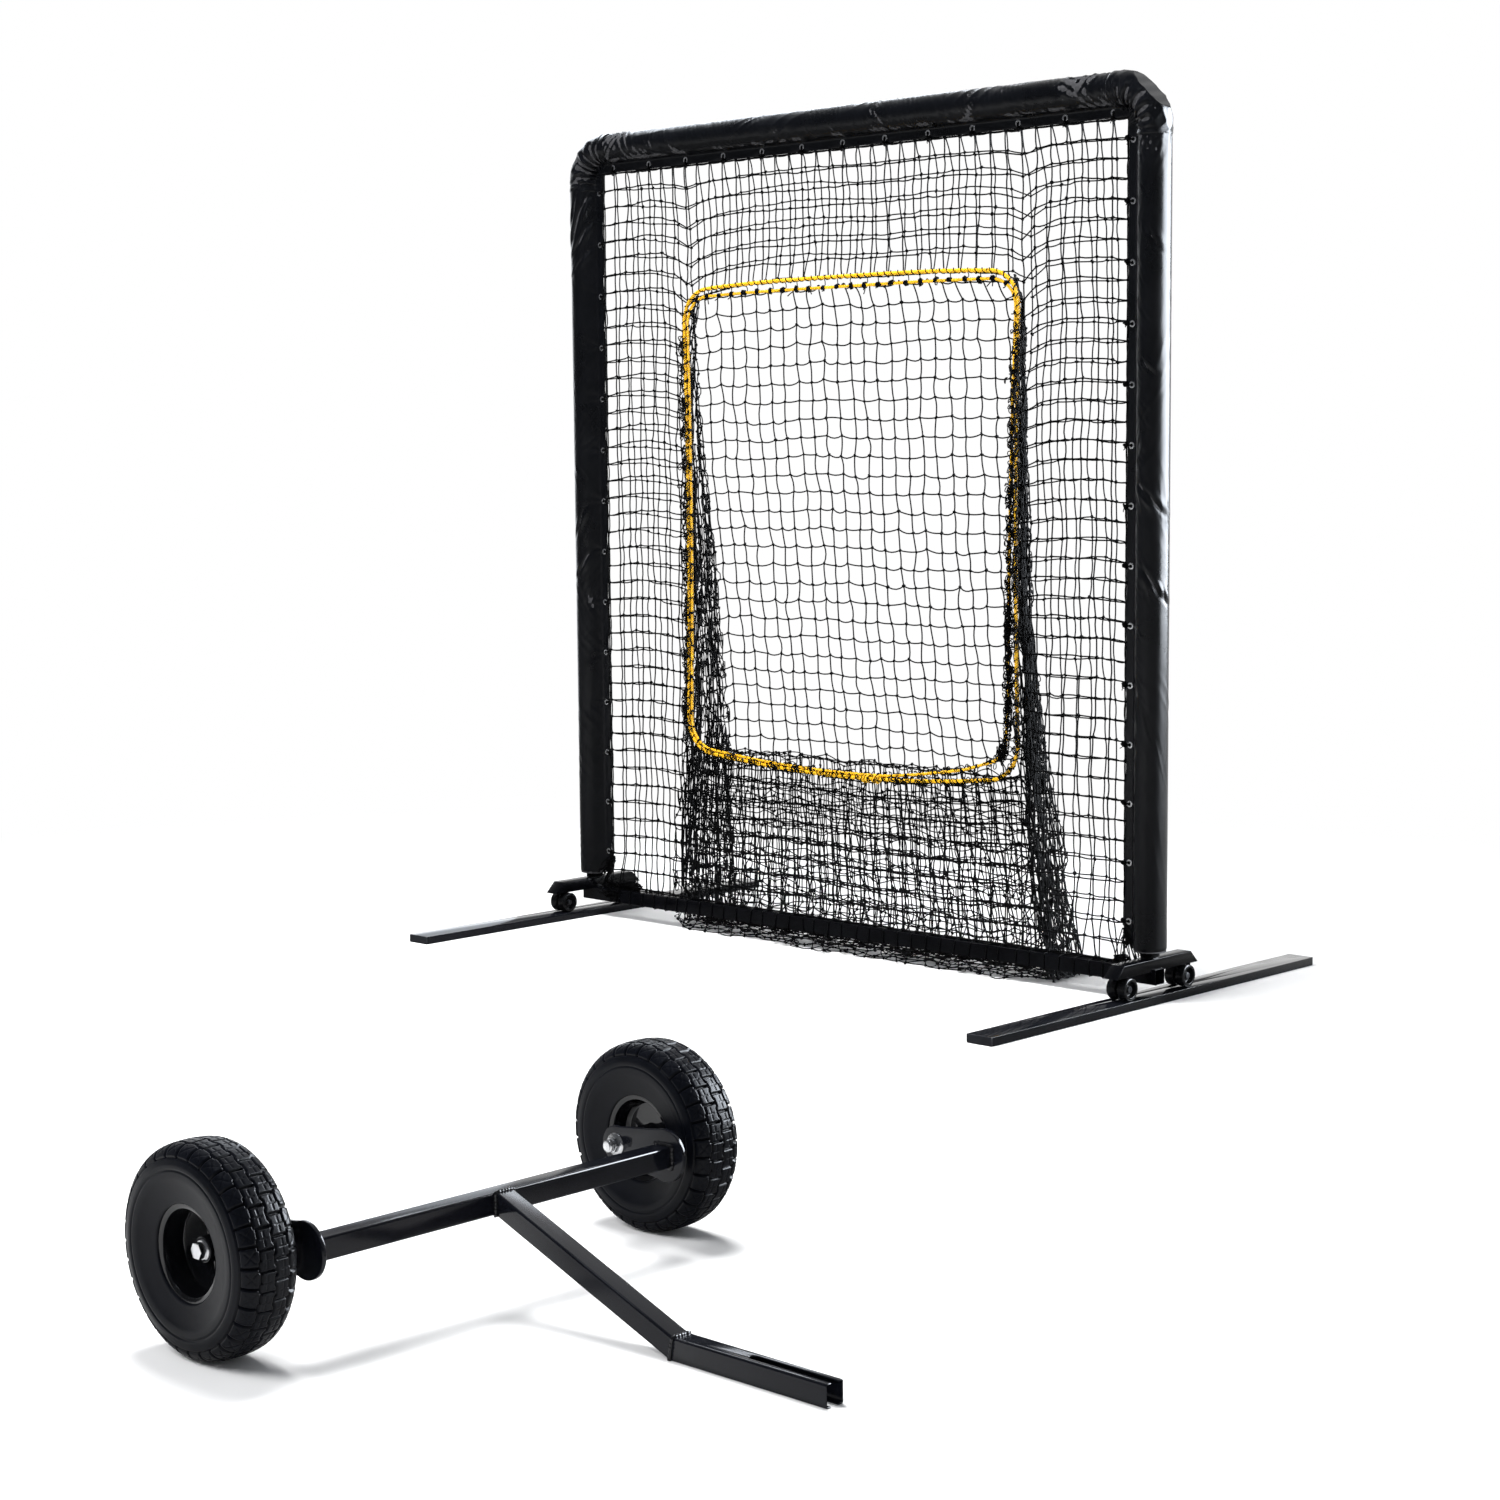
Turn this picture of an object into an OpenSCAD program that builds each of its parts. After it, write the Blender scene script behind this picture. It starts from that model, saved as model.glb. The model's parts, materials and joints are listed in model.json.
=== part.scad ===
// Padded batting net frame with a sock net, and the wheel kit that stands beside it.
// Millimetres. +Z is up, +X runs across the frame to its right foot, -Y faces the batter.
// The origin is the centre of the right leg's underside, on the floor.

/* [Frame] */
// Overall width over the pads
frame_w = 2134; // [1500:1:3000]
// Overall height to the top of the top pad
frame_h = 2315; // [1800:1:2800]
// Outer diameter of the frame pipe
pipe_d = 42.2; // [38:0.1:44]
// Wall of the frame pipe
pipe_wall = 2.6; // [1.5:0.1:4]
// Centre-line radius of the two top bends
bend_r = 95; // [60:1:120]
// Side of the square bottom rail
rail_s = 40; // [36:0.5:42]
// Wall of the bottom rail
rail_wall = 2; // [1.5:0.1:4]
// Outer corner radius of the square tubes
tube_r = 4; // [3:0.5:6]
// Height of the rail's underside over the floor
rail_z = 46; // [44:0.5:54]
// How far the rail's open end stands out of the saddle
rail_stub = 5; // [2:0.5:30]

/* [Feet] */
// Length of a leg bar
leg_l = 1370; // [900:1:1800]
// Width of a leg bar
leg_w = 76; // [60:1:120]
// Height of a leg bar
leg_h = 22; // [18:0.5:26]
// Wall of a leg bar
leg_wall = 2.5; // [2:0.1:4]
// Depth of a leg's end plug
plug_l = 14; // [8:1:30]
// Offset of the foot outward from the post
foot_off = 5; // [0:0.5:10]
// Width of the saddle channel
saddle_w = 42; // [40:1:60]
// Length of the saddle along its open underside
saddle_l = 348; // [346:1:420]
// Thickness of the saddle plate
saddle_t = 3; // [2:0.5:4]
// Height of the saddle's top over the floor
saddle_top = 112; // [106:0.5:124]
// Diameter of a foot roller
roller_d = 57; // [50:0.5:58]
// Length of a foot roller
roller_l = 58; // [46:1:60]
// Distance from the post to a roller's axle
roller_y = 124; // [80:1:126]
// Diameter of a roller's bolt
roller_bolt_d = 10; // [8:0.5:14]
// Thickness of the plate that a roller hangs from, between its two halves
hanger_t = 5; // [4:0.5:8]
// Diameter of the pin that locates a leg
pin_d = 12; // [8:0.5:14]

/* [Padding] */
// Outer diameter over the pads
pad_d = 85; // [70:1:110]
// Thickness of the vinyl cover
vinyl_t = 1.5; // [1:0.1:3]
// Height of the lower end of the post pads
pad_z = 128; // [120:1:200]
// Distance a post pad's lacing flap stands in from the pad
flap_w = 36; // [28:1:50]
// Distance the top pad's lacing flap stands down from the pad
top_flap_w = 28; // [24:1:50]
// Height at which a post's flap begins over the lower end of its pad
flap_up = 14; // [0:1:20]
// Thickness of the lacing flap
flap_t = 3; // [2:0.1:5]
// Distance of the grommets from a flap's edge
grommet_in = 14; // [12:0.5:16]
// Distance between grommets
grommet_pitch = 150; // [100:1:250]
// Outer diameter of a grommet
grommet_d = 17; // [12:0.5:22]
// Hole of a grommet
grommet_hole = 9; // [6:0.5:11]

/* [Net] */
// Distance between the strands of the front net
net_pitch = 100; // [100:1:200]
// Width of a strand
strand = 3; // [2:0.1:5]
// Gap between the flap's edge and the net, bridged by the ties
net_gap = 8; // [5:0.5:20]
// Width of the opening
open_w = 1215; // [800:1:1400]
// Height of the opening's lower edge
open_z0 = 505; // [350:1:800]
// Height of the opening's upper edge
open_z1 = 1855; // [1500:1:2000]
// Corner radius of the opening's rope
open_r = 90; // [60:1:200]
// Diameter of the border rope
rope_d = 11; // [8:0.5:16]
// Diameter of the sock's mouth rope
mouth_d = 9; // [6:0.5:12]
// How far the mouth rope lies inside the border rope
mouth_in = 25; // [22:1:80]
// Depth of the sock at the floor
sock_depth = 230; // [160:1:400]
// Depth of the sock at its top
sock_shallow = 26; // [24:1:60]
// How much wider the sock is at the floor on each side
sock_flare = 95; // [40:1:140]
// Wall of the sock net
sock_t = 2; // [1:0.25:2.5]
// Openings across the sock's net
sock_cells = 12; // [4:1:12]
// Openings up the sock's back
sock_rows = 12; // [4:1:12]
// Width of a strand of the sock's net
sock_strand = 6; // [4:0.5:14]

/* [Wheel kit] */
// Distance of the kit's axle from the right leg
cart_x = 541; // [520:1:2000]
// Distance of the kit's middle in front of the frame
cart_y = 2757; // [1400:1:3500]
// Distance between the wheel centres
track = 965; // [800:1:1300]
// Diameter of a tyre
tyre_d = 346; // [300:1:420]
// Width of a tyre
tyre_w = 110; // [90:1:120]
// Depth of the tread grooves
tread = 7; // [3:0.5:8]
// Shoulder lugs round each side of a tyre
lugs = 32; // [20:1:40]
// Diameter of the rim's flange
rim_d = 166; // [150:1:190]
// Side of the kit's square tube
kit_s = 38; // [34:0.5:44]
// Wall of the kit's square tube
kit_wall = 2.5; // [1.5:0.1:4]
// Length of the crossbeam
beam_l = 770; // [600:1:900]
// Distance of the crossbeam from the axle
beam_off = 122; // [90:1:160]
// Distance of the tongue's bend from the axle
kink_x = 546; // [400:1:700]
// Distance of the fork's end from the axle
fork_x = 869; // [800:1:1200]
// Length of the slot in the fork
slot_l = 172; // [80:1:220]
// Width of the slot in the fork
slot_w = 16; // [12:0.5:22]
// Thickness of an ear plate
ear_t = 8; // [5:0.5:12]
// Diameter of the axle bolts
axle_d = 16; // [12:0.5:20]

/* [Hidden] */
$fn = 64;
// running clearance of a bore on its bolt, on the radius
run = 0.06;
// set-off between pieces that move apart
gap = 0.3;
// seat clearance inside one assembly
seat = 0.2;

// frame centre and posts
post_x = (frame_w - pad_d) / 2;
foot_x = post_x + foot_off;
frame_x = -foot_x;
top_z = frame_h - pad_d / 2;
pad_r = pad_d / 2;
bend_z = top_z - bend_r;
bend_x = post_x - bend_r;
rail_top = rail_z + rail_s;
rail_half = foot_x + saddle_w / 2 + rail_stub;

// foot
roller_z = leg_h + gap + roller_d / 2;
flange_z = roller_z + roller_d / 2 + 1.5;
saddle_rise = saddle_top - flange_z;
hanger_w = 30;
head_r = roller_bolt_d * 0.8;
head_t = roller_bolt_d * 0.5;
nut_t = roller_bolt_d * 0.8;
hub_r = roller_bolt_d / 2 + 6;
dish_r = roller_d / 2 - 8;
// the pin stands close behind the rear roller
pin_y = roller_y + roller_d / 2 + pin_d / 2 + 2;
pin_deep = leg_h - leg_wall - 3;
collar_t = 6;

// padding
foam_in = pipe_d / 2 + seat;
foam_out = pad_r - vinyl_t - seat;
flap_edge = post_x - pad_r - flap_w;
flap_top = top_z - pad_r - top_flap_w;
grommet_x = flap_edge + grommet_in;
grommet_z = flap_top + grommet_in;
post_grommets = floor((flap_top - pad_z - 60) / grommet_pitch) + 1;
top_grommet_n = floor((2 * min(flap_edge, bend_x) - 50) / grommet_pitch) + 1;
post_g0 = (pad_z + flap_up + flap_top) / 2 - (post_grommets - 1) * grommet_pitch / 2;
// slack of the vinyl over the back of a bend, and the distance from the bend's centre to that flat
corner_slack = 1.9;
corner_d = bend_r + pipe_d / 2 + corner_slack + vinyl_t;
flap_lip = 2;
collar_g = 0.8;

// net
net_x = flap_edge - net_gap;
net_z1 = flap_top - net_gap;
tie_out = grommet_x - grommet_hole / 2 + gap + 0.4;
tie_in = net_x - strand - gap - 0.2;
tie_r = (tie_out - tie_in) / 2;
tie_c = (tie_out + tie_in) / 2;
tie_t = 1.8;
tie_h = 4;
rope_y = -(strand / 2 + rope_d / 2 + seat);
sock_y = strand / 2 + gap;
mouth_w = open_w - 2 * mouth_in;
mouth_z0 = open_z0 + mouth_in;
mouth_z1 = open_z1 - mouth_in;
lash_t = 2.6;
lash_n = floor(2 * (net_x - 20) / 50);
lash_top = rail_top + lash_t;
net_z0 = lash_top + seat;
sock_floor = 3;
ledge_z = rail_z - lash_t - 4;

// wheel kit
wheel_r = tyre_d / 2;
kit_h = kit_s / 2;
beam_x = beam_off;
root_x = beam_x + kit_h;
fall = atan((wheel_r - kit_h) / (kink_x - root_x));
ear_r = 33;
ear_big = 47;
beam_end = beam_l / 2;
ear_out = beam_end + ear_t;
hub_in = ear_out + gap;
head_at = track / 2 + 15;
bear_r = axle_d / 2 + 9.5;
bear_t = 11;
hub_rr = bear_r + 3.5;
axle_head_t = 10;
axle_nut_t = 15;
washer_t = 2.5;
bolt_end = 8;

// ---------- shared shapes ----------

// square outline with round corners, true arcs
module rounded_square(s, r) {
  square([s, s - 2 * r], center = true);
  square([s - 2 * r, s], center = true);
  for (x = [-1, 1], y = [-1, 1])
    translate([x * (s / 2 - r), y * (s / 2 - r)]) circle(r, $fn = 24);
}

// square tube profile
module tube_2d(s, wall) {
  difference() {
    rounded_square(s, tube_r);
    rounded_square(s - 2 * wall, max(tube_r - wall, 0.5));
  }
}

// along +X
module square_tube(s, wall, l) {
  rotate([90, 0, 90]) linear_extrude(l) tube_2d(s, wall);
}

module ring(ro, ri, h) {
  difference() {
    cylinder(r = ro, h = h);
    translate([0, 0, -1]) cylinder(r = ri, h = h + 2);
  }
}

// a quarter of a pipe, turning from +Z down to +X around its centre
module pipe_bend(ro, ri, rb) {
  rotate([90, 0, 0]) rotate_extrude(angle = 90) translate([rb, 0]) difference() {
    circle(ro);
    circle(ri);
  }
}

// a solid quarter bend
module solid_bend(r, rb) {
  rotate([90, 0, 0]) rotate_extrude(angle = 90) translate([rb, 0]) circle(r);
}

module in_frame() { translate([frame_x, 0, 0]) children(); }

// +1 is the right side, -1 the left, both seen from the front
module side(s) {
  in_frame() if (s > 0) children(); else mirror([1, 0, 0]) children();
}

// ---------- legs ----------

// one leg bar about its own centre
module leg_bar() {
  difference() {
    translate([-leg_w / 2, -leg_l / 2, 0]) cube([leg_w, leg_l, leg_h]);
    translate([-leg_w / 2 + leg_wall, -leg_l / 2 - 1, leg_wall])
      cube([leg_w - 2 * leg_wall, leg_l + 2, leg_h - 2 * leg_wall]);
    translate([0, pin_y, leg_h / 2]) cylinder(d = pin_d + 2 * gap, h = leg_h);
  }
}

module leg_caps_both() {
  for (s = [-1, 1]) {
    translate([-leg_w / 2, s > 0 ? leg_l / 2 : -leg_l / 2 - 3, 0]) cube([leg_w, 3, leg_h]);
    translate([-leg_w / 2 + leg_wall + seat, s > 0 ? leg_l / 2 - plug_l : -leg_l / 2,
               leg_wall + seat])
      cube([leg_w - 2 * leg_wall - 2 * seat, plug_l, leg_h - 2 * leg_wall - 2 * seat]);
  }
}

module right_leg() { color("#15161a") side(1) translate([foot_x, 0, 0]) leg_bar(); }
module left_leg() { color("#15161a") side(-1) translate([foot_x, 0, 0]) leg_bar(); }
module right_leg_caps() { color("#222326") side(1) translate([foot_x, 0, 0]) leg_caps_both(); }
module left_leg_caps() { color("#222326") side(-1) translate([foot_x, 0, 0]) leg_caps_both(); }

// ---------- pipes and rail ----------

module post() {
  translate([post_x, 0, saddle_top])
    ring(pipe_d / 2, pipe_d / 2 - pipe_wall, bend_z - saddle_top);
}

module bend() {
  translate([bend_x, 0, bend_z]) pipe_bend(pipe_d / 2, pipe_d / 2 - pipe_wall, bend_r);
}

module left_post() { color("#17181b") side(-1) post(); }
module right_post() { color("#17181b") side(1) post(); }
module left_bend() { color("#17181b") side(-1) bend(); }
module right_bend() { color("#17181b") side(1) bend(); }

module top_pipe() {
  color("#17181b") in_frame() translate([-bend_x, 0, top_z]) rotate([0, 90, 0])
    ring(pipe_d / 2, pipe_d / 2 - pipe_wall, 2 * bend_x);
}

module bottom_rail() {
  color("#17181b") in_frame() translate([-rail_half, 0, rail_z + rail_s / 2])
    square_tube(rail_s, rail_wall, 2 * rail_half);
}

// ---------- saddles ----------

module saddle_outline(grow, drop) {
  half = saddle_l / 2 - grow * sqrt(2);
  polygon([[-half - drop, flange_z - drop], [half + drop, flange_z - drop],
           [half - saddle_rise + grow, saddle_top - grow],
           [-half + saddle_rise - grow, saddle_top - grow]]);
}

// a plate under the saddle's middle that carries a roller's bolt
module roller_hanger(y) {
  translate([foot_x - hanger_t / 2, y, 0]) rotate([90, 0, 90]) linear_extrude(hanger_t)
    difference() {
      union() {
        translate([-hanger_w / 2, roller_z]) square([hanger_w, saddle_top - saddle_t / 2 - roller_z]);
        translate([0, roller_z]) circle(hanger_w / 2);
      }
      translate([0, roller_z]) circle(roller_bolt_d / 2 + 0.1);
    }
}

module saddle() {
  difference() {
    translate([foot_x - saddle_w / 2, 0, 0]) rotate([90, 0, 90])
      linear_extrude(saddle_w) saddle_outline(0, 0);
    translate([foot_x - saddle_w / 2 + saddle_t, 0, 0]) rotate([90, 0, 90])
      linear_extrude(saddle_w - 2 * saddle_t) saddle_outline(saddle_t, 1);
    translate([foot_x - saddle_w, -rail_s / 2 - seat, rail_z])
      cube([2 * saddle_w, rail_s + 2 * seat, rail_s]);
  }
  for (y = [-roller_y, roller_y]) roller_hanger(y);
}

module left_saddle() { color("#191a1e") side(-1) saddle(); }
module right_saddle() { color("#191a1e") side(1) saddle(); }

// the pin under a saddle's sloped end that drops into the leg, with its collar
module locating_pin() {
  intersection() {
    translate([foot_x, pin_y, leg_h - pin_deep]) cylinder(d = pin_d, h = saddle_top);
    translate([foot_x - pin_d, 0, 0]) rotate([90, 0, 90])
      linear_extrude(2 * pin_d) saddle_outline(saddle_t, flange_z + 1);
  }
  translate([foot_x, pin_y, leg_h + seat]) cylinder(d = pin_d + 8, h = collar_t);
}

module left_pin() { color("#1c1d20") side(-1) locating_pin(); }
module right_pin() { color("#1c1d20") side(1) locating_pin(); }

// ---------- foot rollers ----------

// turned half of a roller, dished at its outer end, along +X from the hanger
module roller_half() {
  c = 2;
  deep = 14;
  l = roller_l / 2;
  x0 = hanger_t / 2 + gap;
  ri = roller_bolt_d / 2 + run;
  rr = roller_d / 2;
  rotate([90, 0, 90]) rotate_extrude($fn = 96) polygon([
    [ri, x0], [hub_r, x0], [hub_r + 1, x0 + 1], [rr - c, x0 + 1], [rr, x0 + 1 + c], [rr, l - c],
    [rr - c, l], [dish_r, l], [dish_r - 1.5, l - deep], [hub_r, l - deep],
    [hub_r, l - head_t - 4], [ri, l - head_t - 4]]);
}

module roller() {
  for (s = [0, 1]) mirror([s, 0, 0]) roller_half();
}

// bolt through both halves and the hanger, its round head in the outer dish and a nut in the inner one
module roller_bolt() {
  head_x = roller_l / 2 - head_t - 4 + gap;
  translate([-head_x - nut_t - 0.5, 0, 0]) rotate([0, 90, 0])
    cylinder(d = roller_bolt_d, h = 2 * head_x + nut_t + 1.5);
  translate([head_x, 0, 0]) rotate([0, 90, 0]) cylinder(r = head_r, h = head_t);
  translate([-head_x - nut_t, 0, 0]) rotate([0, 90, 0]) cylinder(r = head_r, h = nut_t, $fn = 6);
}

module at_roller(y) { translate([foot_x, y, roller_z]) children(); }

module left_front_roller() { color("#101114") side(-1) at_roller(-roller_y) roller(); }
module left_rear_roller() { color("#101114") side(-1) at_roller(roller_y) roller(); }
module right_front_roller() { color("#101114") side(1) at_roller(-roller_y) roller(); }
module right_rear_roller() { color("#101114") side(1) at_roller(roller_y) roller(); }
module left_front_roller_bolt() { color("#c9ccd1") side(-1) at_roller(-roller_y) roller_bolt(); }
module left_rear_roller_bolt() { color("#c9ccd1") side(-1) at_roller(roller_y) roller_bolt(); }
module right_front_roller_bolt() { color("#c9ccd1") side(1) at_roller(-roller_y) roller_bolt(); }
module right_rear_roller_bolt() { color("#c9ccd1") side(1) at_roller(roller_y) roller_bolt(); }

// ---------- padding ----------

module post_foam() {
  translate([post_x, 0, pad_z]) ring(foam_out, foam_in, bend_z - pad_z);
}

module left_foam() { color("#3a3b3e") side(-1) post_foam(); }
module right_foam() { color("#3a3b3e") side(1) post_foam(); }

// what lies within the flat across a bend's back, set in by o, about the bend's centre
module within_flat(o) {
  big = 3 * bend_r + 3 * pad_r;
  rotate([0, 45, 0]) translate([-big, -big, corner_d - o - 2 * big]) cube(2 * big);
}

module top_foam() {
  color("#3a3b3e") in_frame() {
    translate([-bend_x, 0, top_z]) rotate([0, 90, 0]) ring(foam_out, foam_in, 2 * bend_x);
    for (s = [0, 1]) mirror([s, 0, 0]) translate([bend_x, 0, bend_z]) intersection() {
      pipe_bend(foam_out, foam_in, bend_r);
      within_flat(vinyl_t + seat);
    }
  }
}

// the flap of a pad between two ends, in the X-Z plane, with its grommet holes
module post_flap() {
  difference() {
    translate([flap_edge, -flap_t / 2, pad_z + flap_up])
      cube([flap_w + 1.5, flap_t, bend_z - pad_z - flap_up]);
    for (i = [0 : post_grommets - 1])
      translate([grommet_x, 0, post_g0 + i * grommet_pitch])
        rotate([90, 0, 0]) cylinder(d = grommet_hole + 2 * flap_lip, h = 2 * flap_t, center = true);
  }
}

module post_cover() {
  translate([post_x, 0, pad_z]) ring(pad_r, pad_r - vinyl_t, bend_z - pad_z);
  post_flap();
}

module left_cover() { color("#0d0e10") side(-1) post_cover(); }
module right_cover() { color("#0d0e10") side(1) post_cover(); }

module top_flap() {
  half = min(flap_edge - seat, bend_x);
  difference() {
    translate([-half, -flap_t / 2, flap_top]) cube([2 * half, flap_t, top_flap_w + 1.5]);
    for (i = [0 : top_grommet_n - 1])
      translate([(i - (top_grommet_n - 1) / 2) * grommet_pitch, 0, grommet_z])
        rotate([90, 0, 0]) cylinder(d = grommet_hole + 2 * flap_lip, h = 2 * flap_t, center = true);
  }
}

module top_cover() {
  color("#0d0e10") in_frame() {
    translate([-bend_x, 0, top_z]) rotate([0, 90, 0]) ring(pad_r, pad_r - vinyl_t, 2 * bend_x);
    top_flap();
  }
}

// the flap inside a bend, square toward the net
module corner_flap() {
  r = bend_r - pad_r + vinyl_t * 0.6;
  kx = bend_r - pad_r - flap_w;
  kz = bend_r - pad_r - top_flap_w;
  difference() {
    rotate([90, 0, 0]) translate([0, 0, -flap_t / 2]) intersection() {
      cylinder(r = r, h = flap_t);
      cube([r, r, flap_t]);
    }
    if (min(kx, kz) > 0) translate([-1, -flap_t, -1]) cube([kx + 1, 2 * flap_t, kz + 1]);
  }
}

// gathered cover of a bend, drawn flat across the bend's back
module corner_cover() {
  translate([bend_x, 0, bend_z]) {
    difference() {
      intersection() {
        solid_bend(pad_r, bend_r);
        within_flat(0);
      }
      intersection() {
        solid_bend(pad_r - vinyl_t, bend_r);
        within_flat(vinyl_t);
      }
    }
    corner_flap();
  }
}

module left_corner_cover() { color("#0d0e10") side(-1) corner_cover(); }
module right_corner_cover() { color("#0d0e10") side(1) corner_cover(); }

// pressed eyelet: a barrel with a flange on both faces
module grommet() {
  rotate([90, 0, 0]) {
    translate([0, 0, flap_t / 2]) ring(grommet_d / 2, grommet_hole / 2, collar_g);
    translate([0, 0, -flap_t / 2 - collar_g]) ring(grommet_d / 2, grommet_hole / 2, collar_g);
    translate([0, 0, -flap_t / 2]) ring(grommet_hole / 2 + flap_lip, grommet_hole / 2, flap_t);
  }
}

module post_grommet_row() {
  for (i = [0 : post_grommets - 1])
    translate([grommet_x, 0, post_g0 + i * grommet_pitch]) grommet();
}

module left_grommets() { color("#d4d7da") side(-1) post_grommet_row(); }
module right_grommets() { color("#d4d7da") side(1) post_grommet_row(); }

module top_grommets() {
  color("#d4d7da") in_frame() for (i = [0 : top_grommet_n - 1])
    translate([(i - (top_grommet_n - 1) / 2) * grommet_pitch, 0, grommet_z]) grommet();
}

// a tie loops through each grommet and round the net's edge strand
module tie() { ring(tie_r + tie_t, tie_r, tie_h); }

module net_ties() {
  color("#0b0b0c") difference() {
    all_ties();
    net_left();
    net_right();
    net_top();
  }
}

module all_ties() {
  union() {
    for (s = [-1, 1]) side(s) for (i = [0 : post_grommets - 1])
      translate([tie_c, 0, post_g0 + i * grommet_pitch - tie_h / 2]) tie();
    in_frame() for (i = [0 : top_grommet_n - 1])
      translate([(i - (top_grommet_n - 1) / 2) * grommet_pitch - tie_h / 2, 0,
                 tie_c + grommet_z - grommet_x]) rotate([0, 90, 0]) tie();
  }
}

// ---------- net ----------

// one flat panel of square mesh with an edge strand all round, in the X-Z plane
module net_panel(x0, x1, z0, z1) {
  nx = round((x1 - x0) / net_pitch);
  nz = round((z1 - z0) / net_pitch);
  px = (x1 - x0 - strand) / nx;
  pz = (z1 - z0 - strand) / nz;
  translate([0, strand / 2, 0]) rotate([90, 0, 0]) linear_extrude(strand) difference() {
    translate([x0, z0]) square([x1 - x0, z1 - z0]);
    for (i = [0 : nx - 1], j = [0 : nz - 1])
      translate([x0 + strand + i * px, z0 + strand + j * pz]) square([px - strand, pz - strand]);
  }
}

module net_left() {
  color("#0c0c0d") in_frame() net_panel(-net_x, -open_w / 2, net_z0, net_z1);
}
module net_right() {
  color("#0c0c0d") in_frame() net_panel(open_w / 2, net_x, net_z0, net_z1);
}
module net_top() {
  color("#0c0c0d") in_frame() net_panel(-open_w / 2, open_w / 2, open_z1, net_z1);
}
module net_bottom() {
  color("#0c0c0d") in_frame() net_panel(-open_w / 2, open_w / 2, net_z0, open_z0);
}

// tube of n sides swept along a closed path in the X-Z plane
module closed_rope(path, r, n) {
  m = len(path);
  pts = [for (i = [0 : m - 1])
    let (a = path[(i + m - 1) % m], b = path[(i + 1) % m], t = (b - a) / norm(b - a),
         side = [t[2], 0, -t[0]])
    for (k = [0 : n - 1])
      path[i] + r * (cos(360 * k / n) * side + sin(360 * k / n) * [0, 1, 0])];
  faces = [for (i = [0 : m - 1], k = [0 : n - 1])
    let (i2 = (i + 1) % m, k2 = (k + 1) % n)
    for (f = [[i * n + k, i2 * n + k2, i * n + k2], [i * n + k, i2 * n + k, i2 * n + k2]]) f];
  polyhedron(pts, faces);
}

// rounded rectangle as points, anticlockwise seen from the front
function loop_path(w, z0, z1, r, y) = [
  for (c = [[w / 2 - r, z0 + r, -90], [w / 2 - r, z1 - r, 0],
            [-w / 2 + r, z1 - r, 90], [-w / 2 + r, z0 + r, 180]])
    for (k = [0 : 5]) [c[0] + r * cos(c[2] + 18 * k), y, c[1] + r * sin(c[2] + 18 * k)]
];

module opening_rope() {
  color("#d9a51c") in_frame()
    closed_rope(loop_path(open_w + strand, open_z0 - strand / 2, open_z1 + strand / 2, open_r, rope_y),
                rope_d / 2, 8);
}

module mouth_rope() {
  color("#c9971a") in_frame()
    closed_rope(loop_path(mouth_w + mouth_d, mouth_z0 - mouth_d / 2, mouth_z1 + mouth_d / 2,
                          open_r - mouth_in / 2, sock_y - mouth_d / 2 - seat), mouth_d / 2, 8);
}

// sock: depth, width and front line by height
function sock_back(z) =
  sock_y + sock_shallow + (sock_depth - sock_shallow) * pow(max(0, 1 - z / (open_z1 + 40)), 1.7);
function sock_half(z) = open_w / 2 + sock_flare * pow(max(0, 1 - z / 1100), 1.3);
function sock_front(z, x) =
  z > ledge_z + 0.01 ? (z < lash_top + 3 ? rail_s / 2 + lash_t + 1.5 : sock_y)
    : sock_y - 62 * pow(cos(min(90, abs(x) / (open_w / 2 + sock_flare) * 90)), 0.8);

// a side runs straight back from its front corner, then leans in, and every second point is pleated in;
// the pleats deepen toward the floor
pleats = 8;
function side_in(z, k, d) =
  min(45, 0.4 * d) * max(0, k - 1) / (pleats - 1)
  + (k % 2 == 0 && k > 0 && k < pleats ? min(16 * max(0, 1 - z / open_z1), 0.5 * d / pleats) : 0);
function side_y(z, k, f, d) = k == 0 ? f : sock_y + d * k / pleats;

// outline of the sock at a level, anticlockwise seen from above
function sock_outline(z) =
  let (w = sock_half(z), b = sock_back(z), f = sock_front(z, w), d = b - sock_y, n = 12, e = 14,
       back = w - side_in(z, pleats, d))
  concat(
    [for (i = [0 : n - 1]) let (x = -w + 2 * w * i / n) [x, sock_front(z, x)]],
    [for (k = [0 : pleats - 1]) [w - side_in(z, k, d), side_y(z, k, f, d)]],
    [for (i = [0 : e - 1])
      [back * (1 - 2 * i / e), b - 6 * (1 - cos(i / e * 360 * 5)) * min(1, (d - sock_shallow) / 80)]],
    [for (k = [pleats : -1 : 1]) [-w + side_in(z, k, d), side_y(z, k, f, d)]]);

// the same outline set in by o, square to each edge
function inset(p, o) = [for (i = [0 : len(p) - 1])
  let (a = p[(i + len(p) - 1) % len(p)], b = p[i], c = p[(i + 1) % len(p)],
       u = (b - a) / norm(b - a), v = (c - b) / norm(c - b), m = [-u[1], u[0]], n = [-v[1], v[0]])
  b + (m + n) * o / (1 + m * n)];
function sock_ring(z, o, at) = [for (q = inset(sock_outline(z), o)) [q[0], q[1], at]];

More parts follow.
